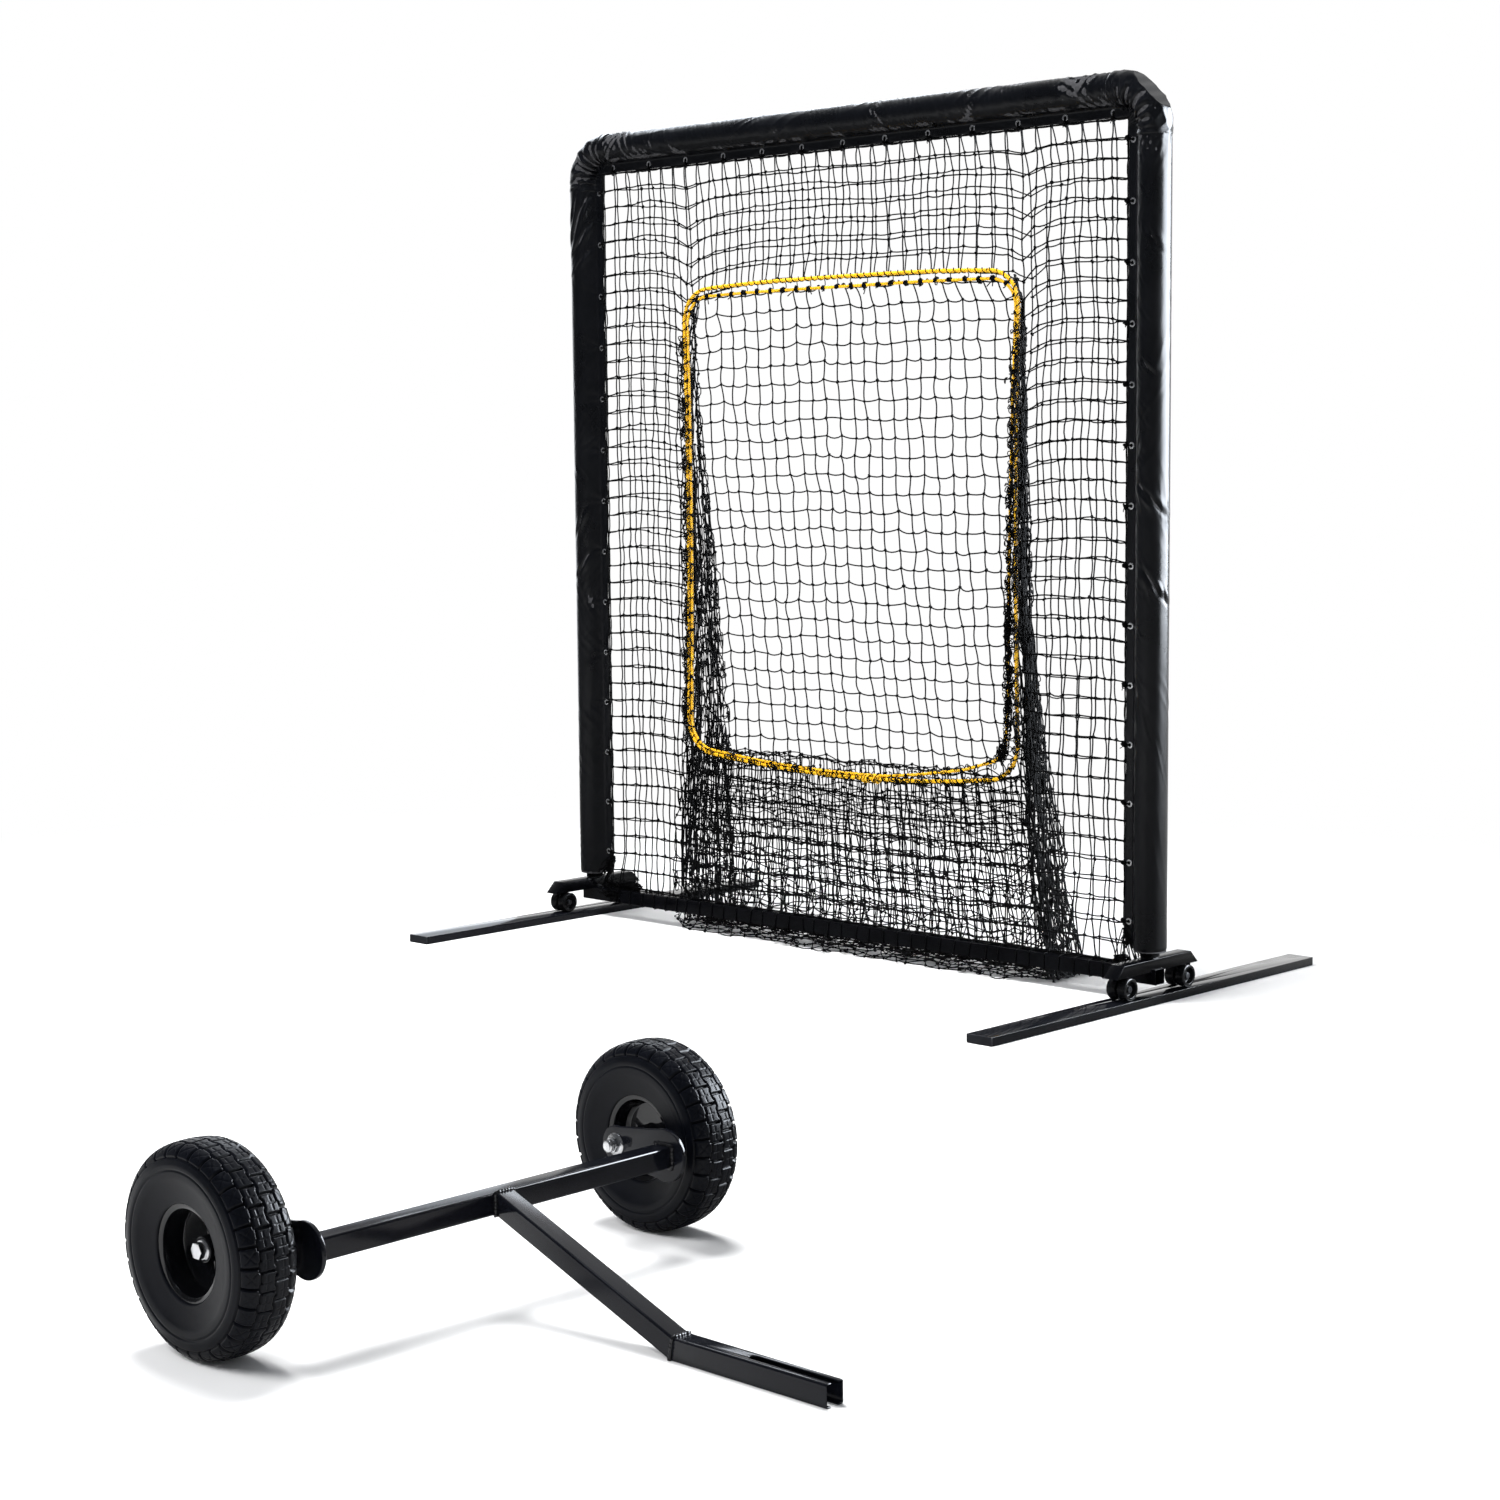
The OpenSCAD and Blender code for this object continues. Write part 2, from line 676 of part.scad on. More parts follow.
// skin through the rings; each end is closed by triangles round its middle
module loft(rings) {
  n = len(rings[0]);
  m = len(rings);
  ys = [for (r = [rings[0], rings[m - 1]]) [for (q = r) q[1]]];
  middles = [for (k = [0, 1]) [0, (min(ys[k]) + max(ys[k])) / 2, rings[k * (m - 1)][0][2]]];
  pts = concat([for (r = rings) each r], middles);
  walls = [for (j = [0 : m - 2], i = [0 : n - 1]) let (i2 = (i + 1) % n)
    for (f = [[j * n + i, (j + 1) * n + i, (j + 1) * n + i2], [j * n + i, (j + 1) * n + i2, j * n + i2]]) f];
  low = [for (i = [0 : n - 1]) [i, (i + 1) % n, m * n]];
  high = [for (i = [0 : n - 1]) [(m - 1) * n + (i + 1) % n, (m - 1) * n + i, m * n + 1]];
  polyhedron(pts, concat(walls, low, high));
}

sock_top = open_z1 - 4;
mesh_half = mouth_w / 2 - 20;
mesh_z0 = lash_top + 26;
mesh_z1 = sock_top - 30;
// levels of the sock, with the way in which its inner skin is set off in height
sock_levels = [[sock_floor, 1], [sock_floor + 14, 0], [ledge_z, -1], [ledge_z + 0.6, -1],
               [lash_top + 2, 0], [lash_top + 24, 0], [240, 0], [open_z0 - 6, 0], [760, 0],
               [1100, 0], [1450, 0], [sock_top, -1]];

module sock_skin(o) { loft([for (l = sock_levels) sock_ring(l[0], o, l[0] + o * l[1])]); }

// blocks that open a wall as a mesh, n up between two heights, from front to back
module mesh_blocks(n, z0, z1, y0, y1) {
  px = 2 * mesh_half / sock_cells;
  pz = (z1 - z0) / n;
  for (i = [0 : sock_cells - 1], j = [0 : n - 1])
    translate([-mesh_half + i * px + sock_strand / 2, y0, z0 + j * pz + sock_strand / 2])
      cube([px - sock_strand, y1 - y0, pz - sock_strand]);
}

module sock_net() {
  split = sock_y + sock_shallow / 2;
  color("#101011") in_frame() difference() {
    sock_skin(0);
    sock_skin(sock_t);
    translate([-mouth_w / 2, sock_y - 30, mouth_z0])
      cube([mouth_w, 30 + sock_t + 4, mouth_z1 - mouth_z0]);
    mesh_blocks(sock_rows, mesh_z0, mesh_z1, split, sock_y + sock_depth + 30);
    mesh_blocks(3, mesh_z0, mouth_z0 - sock_strand, sock_y - 80, split);
  }
}

// cord turns that tie the net down to the rail
module rail_lashing() {
  o = rail_s / 2 + lash_t;
  i = rail_s / 2 + 0.1;
  color("#0c0c0d") in_frame() for (k = [0 : lash_n])
    translate([(k - lash_n / 2) * 50 - lash_t / 2, 0, rail_z + rail_s / 2]) difference() {
      translate([0, -o, -o]) cube([lash_t, 2 * o, 2 * o]);
      translate([-1, -i, -i]) cube([lash_t + 2, 2 * i, 2 * i]);
    }
}

// ---------- wheel kit ----------

module in_kit() { translate([cart_x, -cart_y, 0]) children(); }

// +1 is the kit's left wheel seen from behind its fork, at +Y
module kit_side(s) {
  in_kit() if (s > 0) children(); else mirror([0, 1, 0]) children();
}

module kit_beam() {
  color("#16171a") in_kit() translate([beam_x, -beam_end, wheel_r]) rotate([0, 0, 90])
    square_tube(kit_s, kit_wall, beam_l);
}

// sloping tube, cut flat against the beam and mitred at the bend
module kit_tongue() {
  run_l = kink_x - root_x;
  color("#16171a") in_kit() intersection() {
    translate([kink_x, 0, kit_h]) rotate([0, fall, 0]) translate([-1.4 * run_l, 0, 0])
      square_tube(kit_s, kit_wall, 1.6 * run_l);
    rotate([90, 0, 0]) translate([0, 0, -kit_s]) linear_extrude(2 * kit_s) polygon([
      [root_x, -50], [kink_x - 50 * tan(fall / 2) * 1 - kit_h * tan(fall / 2), -50],
      [kink_x + (2 * wheel_r - kit_h) * tan(fall / 2), 2 * wheel_r], [root_x, 2 * wheel_r]]);
  }
}

// level end piece with the open-ended slot through both walls
module kit_fork() {
  color("#16171a") in_kit() difference() {
    intersection() {
      translate([kink_x - kit_s, 0, kit_h]) square_tube(kit_s, kit_wall, fork_x - kink_x + kit_s);
      rotate([90, 0, 0]) translate([0, 0, -kit_s]) linear_extrude(2 * kit_s) polygon([
        [kink_x - (50 + kit_h) * tan(fall / 2), -50], [fork_x + 1, -50], [fork_x + 1, 2 * wheel_r],
        [kink_x + (2 * wheel_r - kit_h) * tan(fall / 2), 2 * wheel_r]]);
    }
    translate([fork_x - slot_l + slot_w / 2, 0, -1]) cylinder(d = slot_w, h = kit_s + 2);
    translate([fork_x - slot_l + slot_w / 2, -slot_w / 2, -1]) cube([slot_l, slot_w, kit_s + 2]);
  }
}

// teardrop plate across the beam's end, out to the axle
module ear() {
  d = beam_x;
  a = asin((ear_big - ear_r) / d);
  // the straight flanks stand a little inside the tangents of the two lobes
  r1 = ear_r - 1.5;
  r2 = ear_big - 1.5;
  translate([0, beam_end, wheel_r]) rotate([-90, 0, 0]) difference() {
    union() {
      cylinder(r = ear_r, h = ear_t);
      translate([d, 0, 0]) cylinder(r = ear_big, h = ear_t);
      linear_extrude(ear_t) polygon([
        [-r1 * sin(a), r1 * cos(a)], [d - r2 * sin(a), r2 * cos(a)],
        [d - r2 * sin(a), -r2 * cos(a)], [-r1 * sin(a), -r1 * cos(a)]]);
    }
    translate([0, 0, -1]) cylinder(r = axle_d / 2 + 0.1, h = ear_t + 2);
  }
}

module kit_left_ear() { color("#17181b") kit_side(1) ear(); }
module kit_right_ear() { color("#17181b") kit_side(-1) ear(); }

// ring section about the axle, given as [radius, distance outward from the wheel's centre]
module turned(pts) {
  translate([0, track / 2, wheel_r]) rotate([-90, 0, 0]) rotate_extrude($fn = 128) polygon(pts);
}

rim_r = rim_d / 2;
seat_r = rim_r - 11;
rim_h = tyre_w * 0.36;

// carcass with beads on the rim, ribbed sidewalls, two centre rows and two shoulder rows
module tyre() {
  h = tyre_w / 2;
  r = wheel_r;
  difference() {
    carcass();
    translate([0, track / 2, r]) rotate([-90, 0, 0]) for (s = [-1, 1], i = [0 : lugs - 1]) {
      // grooves between shoulder lugs run out over the shoulder
      rotate([0, 0, (i + (s > 0 ? 0.25 : 0.75)) * 360 / lugs])
        translate([r - tread, -lug_gap / 2, s > 0 ? h - 28 : -h - 2]) cube([tread + 5, lug_gap, 30]);
      rotate([0, 0, (i + (s > 0 ? 0.5 : 0)) * 360 / lugs])
        translate([r - tread, -block_gap / 2, s > 0 ? 2 : 28 - h]) cube([tread + 5, block_gap, h - 30]);
    }
  }
}

lug_gap = 4.4;
block_gap = 2.8;

module carcass() {
  h = tyre_w / 2;
  w = rim_h;
  r = wheel_r;
  m = (r + rim_r) / 2;
  half = [
    [seat_r, w - 13], [seat_r, w - 4], [rim_r + 0.6, w - 1.2], [rim_r + 0.6, w + 1.5],
    [rim_r + 4, w + 5], [m - 14, h - 2.5], [m, h], [r - 38, h - 0.4], [r - 36, h + 1],
    [r - 28, h + 0.4], [r - 27, h - 1.6], [r - 14, h - 6], [r - 5, h - 14], [r - 1.4, h - 24],
    [r - 1.2, h - 25], [r - tread, h - 26], [r - tread, h - 29], [r - 1, h - 30],
    [r, 5.5], [r - tread, 4], [r - tread, 0]];
  inner = [
    [r - tread - 6, 0], [r - tread - 7, h - 26], [r - 20, h - 16], [r - 34, h - 8], [m, h - 7],
    [m - 12, h - 9], [rim_r + 4, w - 3], [seat_r + 6, w - 12]];
  turned(concat(half, mirrored(half), mirrored_in(inner), inner));
}

function mirrored(p) = [for (i = [len(p) - 2 : -1 : 0]) [p[i][0], -p[i][1]]];
function mirrored_in(p) = [for (i = [len(p) - 1 : -1 : 1]) [p[i][0], -p[i][1]]];

module kit_left_tyre() { color("#1b1c1f") kit_side(1) tyre(); }
module kit_right_tyre() { color("#1b1c1f") kit_side(-1) tyre(); }

// pressed rim with a dished disc and a hub tube that reaches in to the ear
module rim() {
  t = 2.6;
  w = rim_h;
  hub_out = head_at - track / 2 - gap - washer_t;
  hub_back = hub_in - track / 2 + 1;
  turned([
    [bear_r, hub_back], [hub_rr, hub_back], [hub_rr, -6], [seat_r - 14, -6], [seat_r - 8, -12],
    [seat_r - t - 1, -w + 6], [seat_r - t, -w + 1], [rim_r - t, -w - 2], [rim_r, -w - 2],
    [rim_r, -w + 0.5], [seat_r - 0.4, -w + 3.4], [seat_r - 0.4, w - 3.4], [rim_r, w - 0.5],
    [rim_r, w + 2], [rim_r - t, w + 2], [seat_r - t, w - 1], [seat_r - t - 1, w - 6],
    [seat_r - t - 1, 0], [seat_r - 12, -2], [hub_rr, -2], [hub_rr, hub_out], [bear_r, hub_out]]);
}

module kit_left_rim() { color("#121317") kit_side(1) rim(); }
module kit_right_rim() { color("#121317") kit_side(-1) rim(); }

module bearings() {
  hub_out = head_at - track / 2 - gap - washer_t;
  hub_back = hub_in - track / 2 + 1;
  for (y = [hub_back, hub_out - bear_t])
    turned([[axle_d / 2 + run, y], [bear_r, y], [bear_r, y + bear_t], [axle_d / 2 + run, y + bear_t]]);
}

module kit_left_bearings() { color("#c3c7cc") kit_side(1) bearings(); }
module kit_right_bearings() { color("#c3c7cc") kit_side(-1) bearings(); }

// bolt from the dish through the hub to the ear, with its washer under the head
module axle() {
  y1 = beam_end - axle_nut_t - bolt_end;
  translate([0, y1, wheel_r]) rotate([-90, 0, 0]) {
    cylinder(d = axle_d, h = head_at + 1 - y1);
    translate([0, 0, head_at - washer_t - y1]) cylinder(r = axle_d * 0.95, h = washer_t);
    translate([0, 0, head_at - y1]) cylinder(r = axle_d * 0.87, h = axle_head_t, $fn = 6);
  }
}

module kit_left_axle() { color("#cfd2d6") kit_side(1) axle(); }
module kit_right_axle() { color("#cfd2d6") kit_side(-1) axle(); }

module axle_nut() {
  translate([0, beam_end - axle_nut_t, wheel_r]) rotate([-90, 0, 0]) difference() {
    union() {
      translate([0, 0, 4]) cylinder(r = axle_d * 0.87, h = axle_nut_t - 4, $fn = 6);
      cylinder(r = axle_d * 0.7, h = 5);
    }
    translate([0, 0, -1]) cylinder(r = axle_d / 2 + 0.05, h = axle_nut_t + 2);
  }
}

module kit_left_nut() { color("#d7dadd") kit_side(1) axle_nut(); }
module kit_right_nut() { color("#d7dadd") kit_side(-1) axle_nut(); }

right_leg();
right_leg_caps();
left_leg();
left_leg_caps();
left_post();
right_post();
left_bend();
right_bend();
top_pipe();
bottom_rail();
left_saddle();
right_saddle();
left_pin();
right_pin();
left_front_roller();
left_rear_roller();
right_front_roller();
right_rear_roller();
left_front_roller_bolt();
left_rear_roller_bolt();
right_front_roller_bolt();
right_rear_roller_bolt();
left_foam();
right_foam();
top_foam();
left_cover();
right_cover();
top_cover();
left_corner_cover();
right_corner_cover();
left_grommets();
right_grommets();
top_grommets();
net_ties();
net_left();
net_right();
net_top();
net_bottom();
sock_net();
opening_rope();
mouth_rope();
rail_lashing();
kit_beam();
kit_tongue();
kit_fork();
kit_left_ear();
kit_right_ear();
kit_left_tyre();
kit_right_tyre();
kit_left_rim();
kit_right_rim();
kit_left_bearings();
kit_right_bearings();
kit_left_axle();
kit_right_axle();
kit_left_nut();
kit_right_nut();
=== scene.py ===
import json
import math

import bmesh
import bpy
import numpy as np
from mathutils import Matrix, Vector

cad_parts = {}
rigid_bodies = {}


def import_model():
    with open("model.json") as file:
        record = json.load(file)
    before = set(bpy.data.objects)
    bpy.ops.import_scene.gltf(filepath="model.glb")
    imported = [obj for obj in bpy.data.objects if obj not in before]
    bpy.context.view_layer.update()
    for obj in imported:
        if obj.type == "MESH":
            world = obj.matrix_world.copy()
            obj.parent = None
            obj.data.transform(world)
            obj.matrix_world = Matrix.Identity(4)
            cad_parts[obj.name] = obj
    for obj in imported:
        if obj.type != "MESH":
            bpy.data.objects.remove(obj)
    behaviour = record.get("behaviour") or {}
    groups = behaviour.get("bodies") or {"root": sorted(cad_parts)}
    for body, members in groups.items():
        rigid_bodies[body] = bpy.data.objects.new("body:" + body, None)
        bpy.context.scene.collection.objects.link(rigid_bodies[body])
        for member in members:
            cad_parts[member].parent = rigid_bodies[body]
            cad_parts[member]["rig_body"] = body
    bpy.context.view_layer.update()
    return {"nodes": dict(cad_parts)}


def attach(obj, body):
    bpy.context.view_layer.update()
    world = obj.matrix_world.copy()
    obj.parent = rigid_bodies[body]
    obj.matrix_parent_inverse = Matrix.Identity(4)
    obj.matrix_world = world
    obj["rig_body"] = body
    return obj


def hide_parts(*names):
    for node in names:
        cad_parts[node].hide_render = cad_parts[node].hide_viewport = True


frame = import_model()
TAU = 2 * math.pi

# The frame stands in the X-Z plane about its own centre line. Everything is in metres.
CENTRE_X = -1.0295
POST_X = 1.0245
TOP_Z = 2.2725
BEND_R = 0.095
BEND_Z = TOP_Z - BEND_R
BEND_X = POST_X - BEND_R
PAD_R = 0.0425
PAD_FOOT = 0.128
FLAP_UP = 0.014
POST_REACH = 0.0785
TOP_REACH = 0.0705
GROMMET_IN = 0.014
GROMMET_PITCH = 0.150
POST_GROMMETS = [0.197 + i * GROMMET_PITCH for i in range(14)]
TOP_GROMMETS = [(i - 6) * GROMMET_PITCH for i in range(13)]
NET_HALF = 0.944
NET_LOW = 0.0888
NET_HIGH = 2.200
OPEN_HALF = 0.6075
OPEN_LOW = 0.505
OPEN_HIGH = 1.855
MOUTH_IN = 0.025
RAIL_LOW = 0.046
RAIL_SIDE = 0.040
KIT_AT = Vector((0.541, -2.757, 0.173))
HALF_TRACK = 0.4825
TYRE_R = 0.173
TYRE_HALF = 0.055
RIM_R = 0.083

# How finely round and padded forms are divided.
PAD_COLUMNS = 116
PAD_STEP = 0.0045
BORDER_POINTS = 1500
MOUTH_POINTS = 1400
ROPE_STRANDS = 3

# Sleeves: half the flap's thickness, its run in from its edge, and the length and narrowing of a hem.
FLAP_HALF = 0.0015
FLAP_RUN = 0.0230
HEM = 0.010
HEM_IN = 0.90

# The least height of any cord over the floor.
TWINE_FLOOR = 0.0004

LENS = 66.675
SENSOR = 36.0
CAMERA_AT = (4.058846, -5.683443, 1.397238)
CAMERA_TURN = (0.765, 0.108, -0.009)  # yaw, pitch and roll in radians


def at_frame(points):
    """Points given about the frame's own centre line, in the shared frame."""
    moved = np.array(points, float)
    moved[..., 0] += CENTRE_X
    return moved


# ---------- camera ----------

def set_camera():
    data = bpy.data.cameras.new("camera")
    data.sensor_width = SENSOR
    data.lens = LENS
    data.clip_end = 200
    camera = bpy.data.objects.new("camera", data)
    yaw, pitch, roll = CAMERA_TURN
    ahead = Vector((-math.sin(yaw) * math.cos(pitch), math.cos(yaw) * math.cos(pitch),
                    -math.sin(pitch)))
    right = Vector((math.cos(yaw), math.sin(yaw), 0))
    up = right.cross(ahead)
    across = right * math.cos(roll) + up * math.sin(roll)
    above = -right * math.sin(roll) + up * math.cos(roll)
    turn = Matrix((across, above, -ahead)).transposed().to_4x4()
    camera.matrix_world = Matrix.Translation(CAMERA_AT) @ turn
    bpy.context.scene.collection.objects.link(camera)
    bpy.context.scene.camera = camera


set_camera()


# ---------- meshes ----------

def make_piece(name, points, faces, material):
    mesh = bpy.data.meshes.new(name)
    mesh.from_pydata(np.asarray(points, float).tolist(), [], [list(map(int, f)) for f in faces])
    mesh.validate()
    return link_piece(name, mesh, material)


def link_piece(name, mesh, material):
    mesh.polygons.foreach_set("use_smooth", [True] * len(mesh.polygons))
    mesh.materials.clear()
    mesh.materials.append(material)
    piece = bpy.data.objects.new(name, mesh)
    bpy.context.scene.collection.objects.link(piece)
    return piece


def finish_piece(piece, body, nodes=()):
    if nodes:
        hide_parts(*nodes)
    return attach(piece, body)


def grid_faces(rows, columns, wrap_rows=False, wrap_columns=False):
    """Quads of a grid of points that is stored row by row."""
    r = np.arange(rows if wrap_rows else rows - 1)
    c = np.arange(columns if wrap_columns else columns - 1)
    rr, cc = np.meshgrid(r, c, indexing="ij")
    r2, c2 = (rr + 1) % rows, (cc + 1) % columns
    quads = np.stack([rr * columns + cc, rr * columns + c2, r2 * columns + c2, r2 * columns + cc], -1)
    return quads.reshape(-1, 4)


def unit(v):
    return v / np.maximum(np.linalg.norm(v, axis=-1, keepdims=True), 1e-12)


def full_turn(count):
    return np.linspace(0, TAU, count, endpoint=False)


def clip01(x):
    return np.clip(x, 0, 1)


def bell(x, width):
    """One where x is nought, fading to nothing in a few widths."""
    return np.exp(-(x / width) ** 2)


def xyz(x, y, z):
    return np.stack(np.broadcast_arrays(x, y, z), -1)


def run_along(path):
    """Distance along a path to each of its points."""
    return np.concatenate([[0], np.cumsum(np.linalg.norm(np.diff(path, axis=0), axis=1))])


def evenly(path, count, endpoint=True):
    """Points spread evenly along a plane path, the distance along it to each, and its length."""
    run = run_along(path)
    at = np.linspace(0, run[-1], count, endpoint=endpoint)
    return np.stack([np.interp(at, run, path[:, k]) for k in (0, 1)], -1), at, run[-1]


class Cordage:
    """Collects round cords and knots, and makes them one mesh."""

    def __init__(self):
        self.points, self.faces, self.count = [], [], 0

    def add(self, points, faces):
        self.points.append(np.asarray(points, float).reshape(-1, 3))
        self.faces.append(np.asarray(faces) + self.count)
        self.count += len(self.points[-1])

    def lay(self, lines, radius, aside, sides=6, closed=False):
        """lines is (cords, points, 3), or one cord. aside is a direction no cord runs along."""
        lines = np.asarray(lines, float)
        if lines.ndim == 2:
            lines = lines[None]
        if closed:
            ahead = np.roll(lines, -1, 1) - np.roll(lines, 1, 1)
        else:
            ahead = np.gradient(lines, axis=1)
        ahead = unit(ahead)
        first = unit(np.cross(ahead, np.asarray(aside, float)))
        second = np.cross(ahead, first)
        turn = TAU * np.arange(sides) / sides
        radius = np.broadcast_to(np.asarray(radius, float), lines.shape[:2])[..., None, None]
        ring = (first[:, :, None] * np.cos(turn)[:, None] + second[:, :, None] * np.sin(turn)[:, None])
        skin = lines[:, :, None] + radius * ring
        cords, steps = lines.shape[:2]
        quads = grid_faces(steps, sides, wrap_rows=closed, wrap_columns=True)[:, ::-1]
        offsets = (np.arange(cords) * steps * sides)[:, None, None]
        self.add(skin, (quads[None] + offsets).reshape(-1, 4))

    def knots(self, centres, size, seed):
        """A lump at each centre, each turned its own way."""
        centres = np.asarray(centres, float).reshape(-1, 3)
        random = np.random.default_rng(seed)
        g = (1 + math.sqrt(5)) / 2
        ball = unit(np.array([(-1, g, 0), (1, g, 0), (-1, -g, 0), (1, -g, 0), (0, -1, g), (0, 1, g),
                              (0, -1, -g), (0, 1, -g), (g, 0, -1), (g, 0, 1), (-g, 0, -1), (-g, 0, 1)],
                             float))
        triangles = np.array([(0, 11, 5), (0, 5, 1), (0, 1, 7), (0, 7, 10), (0, 10, 11), (1, 5, 9),
                              (5, 11, 4), (11, 10, 2), (10, 7, 6), (7, 1, 8), (3, 9, 4), (3, 4, 2),
                              (3, 2, 6), (3, 6, 8), (3, 8, 9), (4, 9, 5), (2, 4, 11), (6, 2, 10),
                              (8, 6, 7), (9, 8, 1)])
        n = len(centres)
        axes = np.linalg.qr(random.normal(size=(n, 3, 3)))[0]
        axes *= np.where(np.linalg.det(axes) < 0, -1.0, 1.0)[:, None, None]
        stretch = size * random.uniform(0.8, 1.25, (n, 1, 3)) * np.array([1.2, 1.0, 0.8])
        lumps = centres[:, None] + np.einsum("nij,nkj->nki", axes, ball[None] * stretch)
        faces = (triangles[None] + (np.arange(n) * 12)[:, None, None]).reshape(-1, 3)
        self.add(lumps, faces)

    def piece(self, name, material):
        points = np.concatenate(self.points)
        points[:, 2] = np.maximum(points[:, 2], TWINE_FLOOR)
        faces = [row for block in self.faces for row in block.tolist()]
        return make_piece(name, points, faces, material)


def softened(node, material, width):
    """A copy of a CAD node with its sharp edges broken, in that node's place."""
    work = bmesh.new()
    work.from_mesh(frame["nodes"][node].data)
    bmesh.ops.remove_doubles(work, verts=work.verts, dist=2e-6)
    bmesh.ops.dissolve_limit(work, angle_limit=math.radians(0.4), verts=work.verts, edges=work.edges)
    sharp = [e for e in work.edges if len(e.link_faces) == 2 and e.calc_face_angle(0) > math.radians(32)]
    bmesh.ops.bevel(work, geom=sharp, offset=width, segments=2, profile=0.6, affect="EDGES",
                    clamp_overlap=True)
    mesh = bpy.data.meshes.new(node + "_finish")
    work.to_mesh(mesh)
    work.free()
    piece = link_piece(node + "_finish", mesh, material)
    mesh.set_sharp_from_angle(angle=math.radians(40))
    return piece


# ---------- finishes ----------

def plug(tree, socket, value):
    """Links a node's output to a socket, or sets the socket's value."""
    if isinstance(value, bpy.types.NodeSocket):
        tree.links.new(value, socket)
    else:
        socket.default_value = value


def feed(tree, node, **inputs):
    for label, value in inputs.items():
        plug(tree, node.inputs[label.replace("_", " ")], value)
    return node


def add_node(tree, kind, **inputs):
    return feed(tree, tree.nodes.new("ShaderNode" + kind), **inputs)


def math_node(tree, operation, a, b, clamp=False):
    node = tree.nodes.new("ShaderNodeMath")
    node.operation = operation
    node.use_clamp = clamp
    for socket, value in zip(node.inputs, (a, b)):
        plug(tree, socket, value)
    return node.outputs[0]


def noise_node(tree, vector, scale, detail=3.0, roughness=0.5):
    return add_node(tree, "TexNoise", Vector=vector, Scale=scale, Detail=detail,
                    Roughness=roughness).outputs["Fac"]


def new_group(name, inputs, outputs):
    """A node group, the object's own place in it, what it is given and its output node."""
    group = bpy.data.node_groups.new(name, "ShaderNodeTree")
    for label, value in inputs.items():
        group.interface.new_socket(name=label, in_out="INPUT",
                                   socket_type="NodeSocketFloat").default_value = value
    for label in outputs:
        group.interface.new_socket(name=label, in_out="OUTPUT", socket_type="NodeSocketFloat")
    place = add_node(group, "TexCoord").outputs["Object"]
    return group, place, group.nodes.new("NodeGroupInput").outputs, group.nodes.new("NodeGroupOutput")


def uneven_surface_group():
    """A fine orange-peel height and a slow mottling."""
    group, place, given, out = new_group(
        "uneven_surface", {"Grain scale": 400.0, "Mottle scale": 9.0}, ("Height", "Mottle"))
    feed(group, out, Height=noise_node(group, place, given["Grain scale"], 2.0),
         Mottle=noise_node(group, place, given["Mottle scale"], 4.0, 0.6))
    return group


def leather_grain_group():
    """The pebbled grain that is pressed into coated fabric."""
    group, place, given, out = new_group("pressed_grain", {"Scale": 700.0}, ("Height",))
    cells = group.nodes.new("ShaderNodeTexVoronoi")
    cells.feature = "DISTANCE_TO_EDGE"
    feed(group, cells, Vector=place, Scale=given["Scale"])
    pebble = math_node(group, "MULTIPLY", cells.outputs["Distance"], 3.0, clamp=True)
    slow = math_node(group, "MULTIPLY", noise_node(group, place, 60.0), 0.8)
    feed(group, out, Height=math_node(group, "ADD", pebble, slow))
    return group


def twisted_yarn_group():
    """Fine fibres of a twine, and where it has rubbed pale."""
    group, place, given, out = new_group("twisted_yarn", {"Scale": 1500.0}, ("Height", "Rubbed"))
    waves = group.nodes.new("ShaderNodeTexWave")
    waves.bands_direction = "DIAGONAL"
    feed(group, waves, Vector=place, Scale=given["Scale"], Distortion=3.0, Detail=1.0)
    fray = noise_node(group, place, 90.0, 5.0, 0.65)
    rubbed = math_node(group, "MULTIPLY", math_node(group, "SUBTRACT", fray, 0.5), 4.0, clamp=True)
    feed(group, out, Height=waves.outputs["Fac"], Rubbed=rubbed)
    return group


GROUPS = {"uneven": uneven_surface_group(), "grain": leather_grain_group(), "yarn": twisted_yarn_group()}


def place_group(tree, key, **values):
    node = tree.nodes.new("ShaderNodeGroup")
    node.node_tree = GROUPS[key]
    return feed(tree, node, **values).outputs


def colour_ramp(tree, value, positions, colours):
    ramp = add_node(tree, "ValToRGB", Fac=value)
    for element, position, colour in zip(ramp.color_ramp.elements, positions, colours):
        element.position = position
        element.color = (*colour, 1.0)
    return ramp.outputs["Color"]


def value_ramp(tree, value, low, high):
    return add_node(tree, "MapRange", Value=value, From_Min=0.3, From_Max=0.7, To_Min=low,
                    To_Max=high).outputs["Result"]


def start_material(name):
    material = bpy.data.materials.new(name)
    material.use_nodes = True
    return material, material.node_tree, material.node_tree.nodes["Principled BSDF"]


def bump(tree, shader, height, strength, distance):
    node = add_node(tree, "Bump", Strength=strength, Distance=distance, Height=height)
    feed(tree, shader, Normal=node.outputs["Normal"])


